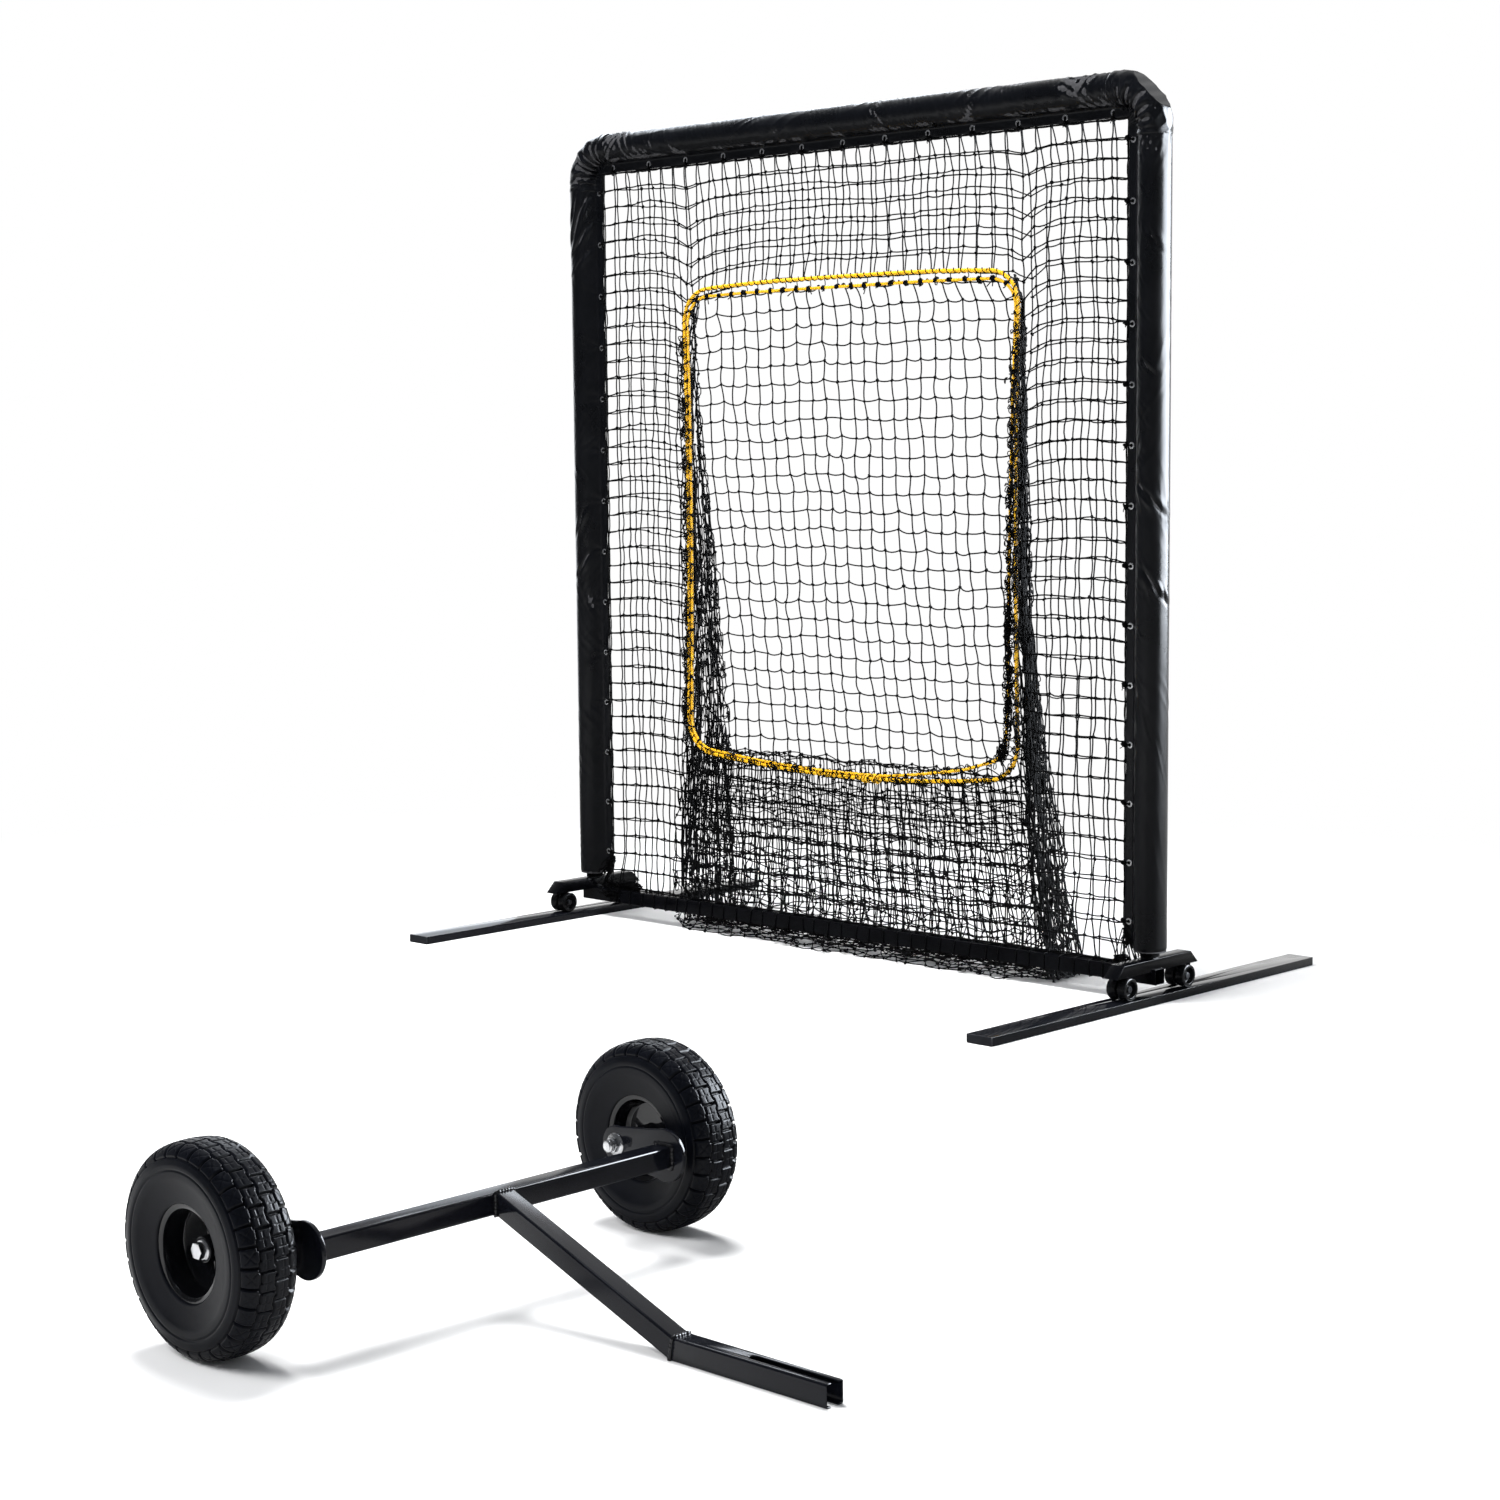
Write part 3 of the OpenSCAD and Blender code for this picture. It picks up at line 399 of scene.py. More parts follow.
def coated(name, dark, light, rough, metallic=0.0, grain=420.0, mottle=9.0, strength=0.12, gloss=0.5,
           tones=(0.35, 0.65), relief=0.0004, pressed=None):
    """Paint, plating, plastic, rubber or vinyl: a faintly mottled colour and gloss over a fine
    unevenness. pressed is the scale of a leather grain that is there instead of it."""
    material, tree, shader = start_material(name)
    surface = place_group(tree, "uneven", Grain_scale=grain, Mottle_scale=mottle)
    height = place_group(tree, "grain", Scale=pressed)["Height"] if pressed else surface["Height"]
    feed(tree, shader, Base_Color=colour_ramp(tree, surface["Mottle"], tones, (dark, light)),
         Roughness=value_ramp(tree, surface["Mottle"], *rough), Metallic=metallic,
         Specular_IOR_Level=gloss)
    bump(tree, shader, height, strength, relief)
    return material


def twine(name, dark, light, rough, scale=1500.0, gloss=0.12):
    material, tree, shader = start_material(name)
    yarn = place_group(tree, "yarn", Scale=scale)
    feed(tree, shader, Base_Color=colour_ramp(tree, yarn["Rubbed"], (0.1, 0.9), (dark, light)),
         Roughness=rough, Specular_IOR_Level=gloss)
    bump(tree, shader, yarn["Height"], 0.5, 0.0005)
    return material


FRAME_PAINT = coated("frame_powder_coat", (0.0012, 0.0013, 0.0018), (0.0024, 0.0026, 0.0034),
                     (0.13, 0.20), grain=260.0, strength=0.06, gloss=0.10)
KIT_PAINT = coated("kit_powder_coat", (0.0028, 0.0032, 0.0050), (0.0046, 0.0052, 0.0076),
                   (0.10, 0.17), grain=260.0, strength=0.06, gloss=0.26)
LEG_PAINT = coated("leg_gloss_coat", (0.0040, 0.0045, 0.0065), (0.0070, 0.0078, 0.0105),
                   (0.05, 0.09), grain=180.0, strength=0.04)
RIM_PAINT = coated("rim_enamel", (0.0020, 0.0022, 0.0028), (0.0034, 0.0036, 0.0045),
                   (0.05, 0.10), grain=200.0, strength=0.04)
ROLLER_PLASTIC = coated("roller_nylon", (0.0025, 0.0026, 0.0030), (0.0045, 0.0047, 0.0054),
                        (0.18, 0.26), strength=0.08, gloss=0.30)
CAP_PLASTIC = coated("end_cap_plastic", (0.0065, 0.0072, 0.0100), (0.0110, 0.0120, 0.0155),
                     (0.40, 0.55), grain=700.0, strength=0.25)
ZINC = coated("zinc_plate", (0.66, 0.67, 0.69), (0.86, 0.87, 0.88), (0.20, 0.30), metallic=1.0,
              mottle=60.0, strength=0.15)
BOLT_STEEL = coated("blackened_bolt", (0.050, 0.052, 0.058), (0.110, 0.113, 0.120), (0.26, 0.36),
                    metallic=1.0, mottle=60.0, strength=0.15)
EYELET = coated("eyelet_nickel", (0.80, 0.81, 0.82), (0.92, 0.92, 0.93), (0.24, 0.34), metallic=1.0,
                mottle=80.0, strength=0.05)
FOAM = coated("sleeve_foam", (0.020, 0.020, 0.022), (0.040, 0.040, 0.043), (0.85, 0.95), grain=900.0,
              mottle=120.0, strength=0.8)
WELD = coated("weld_bead", (0.0040, 0.0043, 0.0052), (0.0070, 0.0072, 0.0085), (0.14, 0.24),
              grain=500.0, strength=0.4, gloss=0.4)
VINYL = coated("pad_vinyl", (0.0009, 0.0011, 0.0016), (0.0019, 0.0022, 0.0032), (0.25, 0.34),
               grain=220.0, mottle=7.0, strength=0.10, gloss=0.27, tones=(0.3, 0.7), relief=0.0003,
               pressed=900.0)
RUBBER = coated("tyre_rubber", (0.0017, 0.0021, 0.0036), (0.0032, 0.0038, 0.0060), (0.28, 0.37),
                grain=900.0, mottle=14.0, strength=0.25, gloss=0.12, tones=(0.3, 0.7), relief=0.0003)
NET_TWINE = twine("net_twine", (0.0012, 0.0012, 0.0014), (0.0045, 0.0045, 0.0050), 0.75)
TIE_CORD = twine("tie_cord", (0.0010, 0.0010, 0.0012), (0.0040, 0.0040, 0.0044), 0.6)
YELLOW_ROPE = twine("yellow_rope", (0.72, 0.39, 0.010), (0.93, 0.62, 0.040), 0.5, 900.0, 0.3)


# ---------- pads ----------

def pad_section(count, reach):
    """Outline of a padded sleeve with its lacing flap: points (toward the flap, across) and their normals."""
    half, root = FLAP_HALF, reach - FLAP_RUN
    start = math.radians(44)
    arc = [(PAD_R * math.cos(a), PAD_R * math.sin(a)) for a in np.linspace(start, TAU - start, 60)]
    ease = []
    p0, p1 = np.array(arc[-1]), np.array((root, -half))
    d0 = np.array((math.sin(start), math.cos(start))) * (root - 0.0200)
    d1 = np.array((0.016, 0.0))
    for t in np.linspace(0, 1, 12)[1:-1]:
        h = (2 * t ** 3 - 3 * t ** 2 + 1, t ** 3 - 2 * t ** 2 + t, -2 * t ** 3 + 3 * t ** 2,
             t ** 3 - t ** 2)
        ease.append(tuple(h[0] * p0 + h[1] * d0 + h[2] * p1 + h[3] * d1))
    tip = reach - half
    edge = [(tip + half * math.cos(a), half * math.sin(a))
            for a in np.linspace(-math.pi / 2, math.pi / 2, 5)]
    flap = [(x, -half) for x in np.linspace(root, tip, 6)[:-1]]
    outline = arc + ease + flap + edge + [(x, -y) for x, y in (ease + flap)[::-1]]
    points, at, girth = evenly(np.array(outline + outline[:1]), count, endpoint=False)
    ahead = np.roll(points, -1, 0) - np.roll(points, 1, 0)
    normals = unit(np.stack([ahead[:, 1], -ahead[:, 0]], -1))
    return points, normals, at, girth


def creases(along, around, girth, seeds):
    """Height of drag folds in vinyl. Each seed is (along, around, angle, wave, length, width, height)."""
    total = np.zeros(np.broadcast(along, around).shape)
    for s0, c0, angle, wave, length, width, height in seeds:
        ds = along - s0
        dc = (around - c0 + girth / 2) % girth - girth / 2
        run = ds * math.cos(angle) + dc * math.sin(angle)
        off = -ds * math.sin(angle) + dc * math.cos(angle)
        envelope = np.exp(-(run / length) ** 2 - (off / width) ** 2)
        bend = 0.25 * wave * np.sin(run / length * 2.0)
        total += height * envelope * (1 - 2 * np.abs(np.sin(math.pi * (off + bend) / wave)) ** 0.7)
    return total


def random_seeds(random, count, span, girth, angles, waves, lengths, heights, arc=(0.0, 1.0)):
    rows = []
    for _ in range(count):
        wave = random.uniform(*waves)
        rows.append((random.uniform(*span), girth * random.uniform(*arc),
                     random.choice(angles) + random.normal(0, 0.18), wave, random.uniform(*lengths),
                     wave * random.uniform(0.8, 1.8), random.uniform(*heights)))
    return rows


def sleeve(length, place, reach, grommets, seeds, flap_from=None):
    """A vinyl sleeve with a lacing flap. place(s, toward, across) gives points; s runs along it."""
    points, normals, at, girth = pad_section(PAD_COLUMNS, reach)
    rows = int(length / PAD_STEP) + 1
    s = np.linspace(0, length, rows)
    lift = creases(s[:, None], at[None], girth, seeds)
    toward = points[:, 0][None]
    free = np.clip((reach - 0.018 - toward) / 0.016, 0.10, 1.0)
    pucker = np.zeros_like(lift)
    for g in grommets:
        ds, dt = s[:, None] - g, toward - (reach - GROMMET_IN)
        far = np.hypot(ds, dt)
        pucker += 0.0011 * np.exp(-far / 0.022) * np.cos(7 * np.arctan2(ds, -dt)) * (far > 0.010)
        lift -= 0.0010 * bell(ds + 0.004, 0.026) * bell(toward - 0.030, 0.018)
    lift = (lift + pucker) * free
    tuck = np.minimum(s, length - s)[:, None]
    lift -= 0.004 * clip01(1 - tuck / HEM) ** 2
    shaped = points[None] + normals[None] * lift[..., None]
    # the flap's edge waves gently between its grommets
    wave = 0.0016 * np.sin(s * 41.0 + 1.3)[:, None] * clip01((toward - reach + 0.010) / 0.008)
    shaped = shaped + np.stack([0 * wave, wave], -1)
    if flap_from is not None:
        # the flap starts above the sleeve's end, with a rounded corner
        t = clip01((s - flap_from + 0.004) / 0.016)[:, None]
        squeeze = 0.12 + 0.88 * np.sqrt(1 - (1 - t) ** 2)
        beyond = np.maximum(shaped[..., 0] - 0.038, 0)
        shaped[..., 0] -= beyond * (1 - squeeze)
    skin = place(s[:, None], shaped[..., 0], shaped[..., 1])
    # turned-in hems at both ends
    first, last = shaped[:1] * HEM_IN, shaped[-1:] * HEM_IN
    start = place(0.006 + 0 * s[:1, None], first[..., 0], first[..., 1])
    stop = place(s[-1:, None] - 0.006, last[..., 0], last[..., 1])
    skin = np.concatenate([start, skin, stop])
    return skin.reshape(-1, 3), grid_faces(rows + 2, PAD_COLUMNS, wrap_columns=True)


def post_place(side):
    def place(s, toward, across):
        return at_frame(xyz(side * (POST_X - toward), across, PAD_FOOT + s))
    return place


def top_place(s, toward, across):
    return at_frame(xyz(s - BEND_X - 0.002, across, TOP_Z - toward))


# Single folds of the posts' sleeves, as creases() takes them. Those at a head are given from it.
RIGHT_FOLDS = [
    (1.132, 0.140, 0.98, 0.050, 0.060, 0.016, -0.0040),
    (1.150, 0.165, 0.90, 0.036, 0.040, 0.014, -0.0026),
    (0.926, 0.140, 0.90, 0.052, 0.060, 0.016, -0.0042),
    (0.905, 0.110, 0.60, 0.034, 0.034, 0.013, -0.0026),
    (1.462, 0.160, 1.10, 0.040, 0.034, 0.014, -0.0026),
    (1.780, 0.150, 0.80, 0.044, 0.050, 0.016, -0.0022)]
LEFT_HEAD_FOLDS = [
    (0.115, 0.175, 0.55, 0.036, 0.075, 0.015, -0.0056),
    (0.160, 0.190, 0.70, 0.028, 0.060, 0.012, -0.0044),
    (0.070, 0.165, 0.45, 0.030, 0.060, 0.013, -0.0040),
    (0.230, 0.185, 0.80, 0.026, 0.050, 0.011, -0.0032)]
LEFT_FOLDS = [
    (0.930, 0.180, 0.75, 0.030, 0.045, 0.012, -0.0040),
    (1.060, 0.172, 0.60, 0.026, 0.045, 0.011, -0.0032)]


def post_folds(side, height, girth):
    """Folds of one post's sleeve: soft dents all along, crinkles at its foot, drag folds at its head."""
    random = np.random.default_rng(5 if side < 0 else 9)
    seen = (0.62, 0.86) if side < 0 else (0.30, 0.70)
    seeds = random_seeds(random, 34, (0.05, height), girth, [0.35, -0.35, 0.15], (0.014, 0.026),
                         (0.050, 0.120), (0.0002, 0.0006))
    seeds += random_seeds(random, 16, (0.25, height - 0.1), girth, [0.1, -0.3, 0.4], (0.020, 0.034),
                          (0.030, 0.060), (0.0003, 0.0008), arc=(0.50, 0.64))
    if side > 0:
        seeds += RIGHT_FOLDS
        seeds += [(0.62 + 0.058 * k + random.normal(0, 0.012), 0.180 + random.normal(0, 0.008),
                   0.85 + random.normal(0, 0.15), 0.016, 0.022, 0.010, -random.uniform(0.0006, 0.0013))
                  for k in range(24)]
        seeds += random_seeds(random, 12, (height - 0.10, height + 0.02), girth, [0.2, -0.3, 0.9],
                              (0.014, 0.024), (0.04, 0.08), (0.0004, 0.0010), arc=seen)
    else:
        seeds += [(height - row[0], *row[1:]) for row in LEFT_HEAD_FOLDS] + LEFT_FOLDS
        seeds += random_seeds(random, 14, (0.0, 0.14), girth, [1.2, 0.9, -0.9], (0.012, 0.022),
                              (0.02, 0.04), (0.0005, 0.0012))
        seeds += random_seeds(random, 16, (0.3, 1.5), girth, [0.9, 0.6], (0.014, 0.022), (0.02, 0.04),
                              (0.0004, 0.0010), arc=seen)
    return seeds


def make_pads():
    girth = pad_section(PAD_COLUMNS, POST_REACH)[3]
    height = BEND_Z - PAD_FOOT
    grommets = [z - PAD_FOOT for z in POST_GROMMETS]
    for side, word in ((-1, "left"), (1, "right")):
        points, faces = sleeve(height + 0.002, post_place(side), POST_REACH, grommets,
                               post_folds(side, height, girth), flap_from=FLAP_UP)
        faces = faces if side > 0 else faces[:, ::-1]
        pad = make_piece(f"{word}_pad", points, faces, VINYL)
        finish_piece(pad, "net_frame", [f"{word}_cover"])
    length = 2 * BEND_X + 0.004
    random = np.random.default_rng(23)
    seeds = random_seeds(random, 150, (0.0, length), girth, [1.05, 1.25], (0.009, 0.017),
                         (0.020, 0.045), (0.0003, 0.0009), arc=(0.34, 0.66))
    seeds += random_seeds(random, 30, (0.0, length), girth, [0.4, 0.9, -0.5], (0.020, 0.040),
                          (0.04, 0.09), (0.0006, 0.0015))
    for end in (0.08, length - 0.08):
        seeds += random_seeds(random, 12, (end - 0.08, end + 0.08), girth, [0.9, 1.3, -0.9],
                              (0.016, 0.028), (0.04, 0.08), (0.0012, 0.0028))
    grommets = [x + BEND_X for x in TOP_GROMMETS]
    points, faces = sleeve(length, top_place, TOP_REACH, grommets, seeds)
    pad = make_piece("top_pad", points, faces[:, ::-1], VINYL)
    finish_piece(pad, "net_frame", ["top_cover"])


# Place along a bend as a share of it, depth and width.
CORNER_PLEATS = ((-0.02, 0.0040, 0.040), (0.13, 0.0060, 0.045), (0.27, 0.0075, 0.050),
                 (0.40, 0.0060, 0.040), (0.52, 0.0085, 0.050), (0.66, 0.0060, 0.045),
                 (0.79, 0.0080, 0.050), (0.93, 0.0050, 0.040), (1.05, 0.0035, 0.035))


def make_corner(side, word, seed):
    """The gathered vinyl round a top bend: pleated inside, drawn flat across the back, with a flap."""
    random = np.random.default_rng(seed)
    rows, columns = 120, 132
    lap = 0.026
    arc = BEND_R * math.pi / 2
    s = np.linspace(-lap, arc + lap, rows)
    turn = np.clip(s / BEND_R, 0, math.pi / 2)
    spine = np.stack([BEND_X + BEND_R * np.cos(turn), 0 * turn, BEND_Z + BEND_R * np.sin(turn)], -1)
    spine[:, 2] += np.minimum(s, 0)
    spine[:, 0] -= np.maximum(s - arc, 0)
    outward = np.stack([np.cos(turn), 0 * turn, np.sin(turn)], -1)
    across = np.array([0.0, 1.0, 0.0])
    corner_x, corner_z = POST_X - POST_REACH - BEND_X, TOP_Z - TOP_REACH - BEND_Z
    skin = np.zeros((rows, columns, 3))
    random_folds = random_seeds(random, 18, (-lap, arc + lap), TAU * PAD_R, [0.9, -0.8, 1.3, 0.4],
                                (0.018, 0.034), (0.025, 0.050), (0.0008, 0.0020))
    pleats = [(at, deep * random.uniform(0.8, 1.2), wide, random.uniform(0, TAU))
              for at, deep, wide in CORNER_PLEATS]
    for row in range(rows):
        t = turn[row]
        inner = min(corner_x / max(math.cos(t), 1e-6), corner_z / max(math.sin(t), 1e-6))
        points, normals, at, girth = pad_section(columns, BEND_R - inner + 0.0008)
        toward = points[:, 0]
        inside = clip01(0.5 + 0.5 * toward / PAD_R)
        body = np.clip((0.055 - toward) / 0.012, 0.08, 1.0)
        middle = s[row] / arc
        lift = np.zeros(columns)
        for fold_at, deep, wide, phase in pleats:
            wander = fold_at + 0.10 * np.sin(points[:, 1] / PAD_R * 1.6 + phase) * (1 - 0.5 * inside)
            spread = wide * (1.6 - 0.9 * inside)
            share = 0.05 + 0.95 * inside
            lift -= deep * bell(middle - wander, spread) * share
            lift += 0.5 * deep * bell(middle - wander - 1.5 * spread, spread) * share
        lift += creases(np.full(columns, s[row]), at, girth, random_folds)
        edge = min(s[row] + lap, arc + lap - s[row])
        lift -= 0.0016 * max(0.0, 1 - edge / 0.006) ** 2
        shaped = points + normals * (0.0016 + lift * body)[:, None]
        skin[row] = spine[row] - outward[row] * shaped[:, :1] + across * shaped[:, 1:]
    # the back of the bend is pulled flat at 45 degrees, and the slack gathers along it
    over = ((skin[..., 0] - BEND_X) + (skin[..., 2] - BEND_Z)) / math.sqrt(2) - 0.1205
    along = ((skin[..., 0] - BEND_X) - (skin[..., 2] - BEND_Z)) / math.sqrt(2)
    flat = np.maximum(over, 0)
    ripple = 0.0008 * np.sin(along * 170 + 40 * skin[..., 1]) * clip01(over / 0.004)
    skin[..., 0] -= (flat + ripple) / math.sqrt(2)
    skin[..., 2] -= (flat + ripple) / math.sqrt(2)
    skin[..., 1] *= 1 + 0.10 * clip01(over / 0.012)
    skin[..., 0] *= side
    faces = grid_faces(rows, columns, wrap_columns=True)
    if side < 0:
        faces = faces[:, ::-1]
    piece = make_piece(f"{word}_corner_wrap", at_frame(skin).reshape(-1, 3), faces, VINYL)
    finish_piece(piece, "net_frame", [f"{word}_corner_cover"])


make_pads()
make_corner(-1, "left", 3)
make_corner(1, "right", 8)


# ---------- nets ----------

def tangle(cordage, centre, size, count, random, radius=0.0013, stretch=(1, 1, 1)):
    """Loose loops of twine heaped about one place."""
    a = full_turn(14)[:, None]
    for _ in range(count):
        first, second = np.linalg.qr(random.normal(size=(3, 3)))[0][:2]
        third = np.cross(first, second)
        w, h = size * random.uniform(0.5, 1.1), size * random.uniform(0.35, 0.9)
        loop = first * w * np.cos(a) + second * h * np.sin(a) + third * 0.2 * size * np.sin(2 * a)
        spot = np.asarray(centre) + random.normal(0, 0.3 * size, 3) * stretch
        loop = spot + loop * stretch
        loop[:, 2] = np.maximum(loop[:, 2], 2 * radius)
        cordage.lay(loop, radius, third + 0.3 * first, sides=5, closed=True)


TWINE_ASIDE = (0.31, 0.87, 0.38)


def heap(cordage, pool, count, size, random, radius=0.0013, stretch=(1, 1, 1), scatter=None,
         shift=(0, 0, 0)):
    """Single loose loops of twine at places picked from a pool."""
    for centre in pool[random.integers(len(pool), size=count)]:
        if scatter is not None:
            centre = centre + random.normal(0, scatter, 3)
        tangle(cordage, centre + shift, size, 1, random, radius, stretch)


def strands(cordage, a, b, radius, random, sag=0.0, bow=0.0012, steps=4):
    """Straightish lengths of twine from knots a to knots b."""
    t = np.linspace(0, 1, steps)[None, :, None]
    lines = a[:, None] * (1 - t) + b[:, None] * t
    hump = 4 * t * (1 - t)
    lines = lines + hump * random.normal(0, bow, (len(a), 1, 3))
    lines[..., 2] -= (hump * sag)[..., 0]
    cordage.lay(lines, radius, TWINE_ASIDE, sides=5)


def net_from_grid(cordage, knots, keep, random, radius, sag, knot=0.0046, bow=0.0012, steps=4):
    """knots is (columns, rows, 3). Twine joins neighbours that are both kept, and only level runs sag."""
    right, up = keep[:-1] & keep[1:], keep[:, :-1] & keep[:, 1:]
    strands(cordage, knots[:-1][right], knots[1:][right], radius, random, sag, bow, steps)
    strands(cordage, knots[:, :-1][up], knots[:, 1:][up], radius, random, 0.0, bow, steps)
    cordage.knots(knots[keep], knot, int(random.integers(1 << 30)))


def spaced(*stops):
    """Positions that divide each stretch between stops into its own number of meshes."""
    values = [stops[0]]
    for k in range(1, len(stops), 2):
        values += list(np.linspace(values[-1], stops[k + 1], stops[k] + 1)[1:])
    return np.array(values)


COLUMNS = spaced(-NET_HALF, 7, -OPEN_HALF, 24, OPEN_HALF, 7, NET_HALF)
ROWS = spaced(NET_LOW, 8, OPEN_LOW, 27, OPEN_HIGH, 7, NET_HIGH)


def rope_low(x):
    """Height of the border rope's lower run, which sags to its middle."""
    return 0.497 + 0.040 * clip01(np.abs(x) / OPEN_HALF) ** 2


def rope_high(x):
    return OPEN_HIGH + 0.003 - 0.016 * clip01(np.abs(x) / OPEN_HALF) ** 3


def pulled(x, z, layer):
    """How a knot of the front net hangs: the sock's weight draws creases over the opening's sides."""
    dz = np.zeros_like(x)
    dy = np.zeros_like(x)
    high = clip01((NET_HIGH - z) / 0.16) ** 0.6
    low = clip01((z - 0.9) / 0.9)
    for side in (-1, 1):
        off = np.abs(x - side * OPEN_HALF)
        dz -= 0.026 * np.exp(-off / 0.055) * high * low
        dy += 0.010 * np.exp(-off / 0.070) * high
    beside = clip01((np.abs(x) - OPEN_HALF) / (NET_HALF - OPEN_HALF))
    ridge = np.sin(math.pi * beside) * high
    dz += (0.017 if layer == 0 else 0.004) * ridge * (0.35 + 0.65 * low)
    within = clip01(1 - np.abs(x) / OPEN_HALF)
    above = clip01((z - OPEN_HIGH) / 0.05)
    if layer == 1:
        dz += 0.015 * np.sin(math.pi * within * 0.5) ** 0.5 * above * high
        dy += 0.012 * np.sin(math.pi * clip01(within * 2) * 0.5) * above * high + 0.004
        dy += 0.010 * ridge
    near = np.exp(-np.abs(z - OPEN_LOW) / 0.12) * (np.abs(x) < OPEN_HALF + 0.02)
    dz += (rope_low(x) - OPEN_LOW) * near
    near = np.exp(-np.abs(z - OPEN_HIGH) / 0.10) * (np.abs(x) < OPEN_HALF + 0.02)
    dz += (rope_high(x) - OPEN_HIGH) * near
    return dy, dz


def slow_field(random, x, z, size, strength):
    """A smooth random drift over the net."""
    total = np.zeros_like(x)
    for _ in range(7):
        ax, az = random.normal(0, 1 / size, 2)
        total += np.sin(x * ax * TAU + z * az * TAU + random.uniform(0, TAU))
    return total * strength / 2.6


def front_net(layer, seed):
    random = np.random.default_rng(seed)
    x, z = np.meshgrid(COLUMNS, ROWS, indexing="ij")
    dy, dz = pulled(x, z, layer)
    edge = np.minimum(NET_HALF - np.abs(x), np.minimum(NET_HIGH - z, z - NET_LOW))
    loose = clip01(edge / 0.10)
    spread = 1.0 if layer == 0 else 1.7

    def drift(size, strength):
        return loose * (slow_field(random, x, z, size, strength) + random.normal(0, 0.0012, x.shape))

    px = x + drift(0.55, 0.0040 * spread)
    pz = z + dz + drift(0.55, 0.0040 * spread)
    py = dy + 0.0005 + drift(0.5, 0.004)
    if layer == 1:
        py += 0.004 * loose + 0.001
        px += loose * (0.005 + 0.012 * clip01((x - 0.52) / 0.12))
    inside = (np.abs(x) < OPEN_HALF - 0.01) & (z > OPEN_LOW + 0.01) & (z < OPEN_HIGH - 0.01)
    foot = clip01((0.185 - z) / 0.09)
    foot = foot * clip01((np.abs(x) - 0.80) / (NET_HALF - 0.80)) ** 1.5
    px += np.sign(x) * 0.040 * foot
    py += 0.004 * foot
    cordage = Cordage()
    net_from_grid(cordage, at_frame(xyz(px, py, pz)), ~inside, random,
                  radius=0.0020 if layer == 0 else 0.0018, sag=0.0010)
    if layer == 0:
        # selvage cord round the edge
        foot = NET_HALF + 0.040
        rim = [(-foot, NET_LOW), (-NET_HALF, 0.185), (-NET_HALF, NET_HIGH), (NET_HALF, NET_HIGH),
               (NET_HALF, 0.185), (foot, NET_LOW)]
        for (x0, z0), (x1, z1) in zip(rim, rim[1:] + rim[:1]):
            t = np.linspace(0, 1, 120)[:, None]
            line = np.hstack([x0 + (x1 - x0) * t, 0 * t, z0 + (z1 - z0) * t])
            line[:, 1] += 0.0008 * np.sin(np.arange(120) * 1.7)
            cordage.lay(at_frame(line), 0.0019, (0.2, 1, 0.1))
    name = "front_net" if layer == 0 else "backing_net"
    piece = cordage.piece(name, NET_TWINE)
    finish_piece(piece, "net_frame",
                 ["net_left", "net_right", "net_top", "net_bottom"] if layer == 0 else ())


front_net(0, 101)
front_net(1, 202)


# ---------- sock ----------

SOCK_TOP = OPEN_HIGH - MOUTH_IN
SOCK_FLOOR = 0.006


def sock_depth(z):
    fall = clip01(1 - z / 1.895)
    return 0.020 + 0.198 * fall ** 1.7


def sock_half(z):
    return OPEN_HALF + 0.088 * clip01(1 - z / 1.10) ** 1.3


def back_panel():
    random = np.random.default_rng(303)
    columns, rows = 25, 37
    u = np.linspace(-1, 1, columns)
    z = np.linspace(SOCK_FLOOR + 0.004, SOCK_TOP, rows)
    uu, zz = np.meshgrid(u, z, indexing="ij")
    depth = sock_depth(zz)
    lean = np.minimum(0.045, 0.4 * depth)
    wide = sock_half(zz) - lean
    top = clip01((SOCK_TOP - zz) / 0.06)
    wide = wide * top + (OPEN_HALF - MOUTH_IN) * (1 - top)
    low = clip01(1 - zz / 0.8)
    px = uu * wide + slow_field(random, uu, zz, 0.8, 0.004) + random.normal(0, 0.0022, uu.shape)
    px += 0.004 * np.sin(zz * 60 + uu * 9) * low
    flutes = 0.5 - 0.5 * np.cos(uu * math.pi * 7)
    py = 0.004 + depth * top - 0.009 * flutes * clip01(depth / 0.08) * top
    py += random.normal(0, 0.0015, uu.shape) * top
    # rows swag between upright runs of twine, and drop toward the sides
    swag = np.cos(np.arange(columns)[:, None] * math.pi * 0.97 + zz * 4.0)
    pz = zz + 0.0045 * swag * (0.5 + 0.5 * low)
    pz -= 0.036 * clip01(np.abs(uu) - 0.80) * clip01(zz / 0.5)
    pz += slow_field(random, uu, zz, 0.8, 0.004) + random.normal(0, 0.0020, uu.shape)
    pz = np.clip(pz, SOCK_FLOOR, SOCK_TOP + 0.01)
    py = np.clip(py, -0.005, 0.226)
    cordage = Cordage()
    net_from_grid(cordage, at_frame(xyz(px, py, pz)), np.ones(uu.shape, bool), random, radius=0.0020,
                  sag=0.0035, bow=0.0018, steps=5)
    return cordage


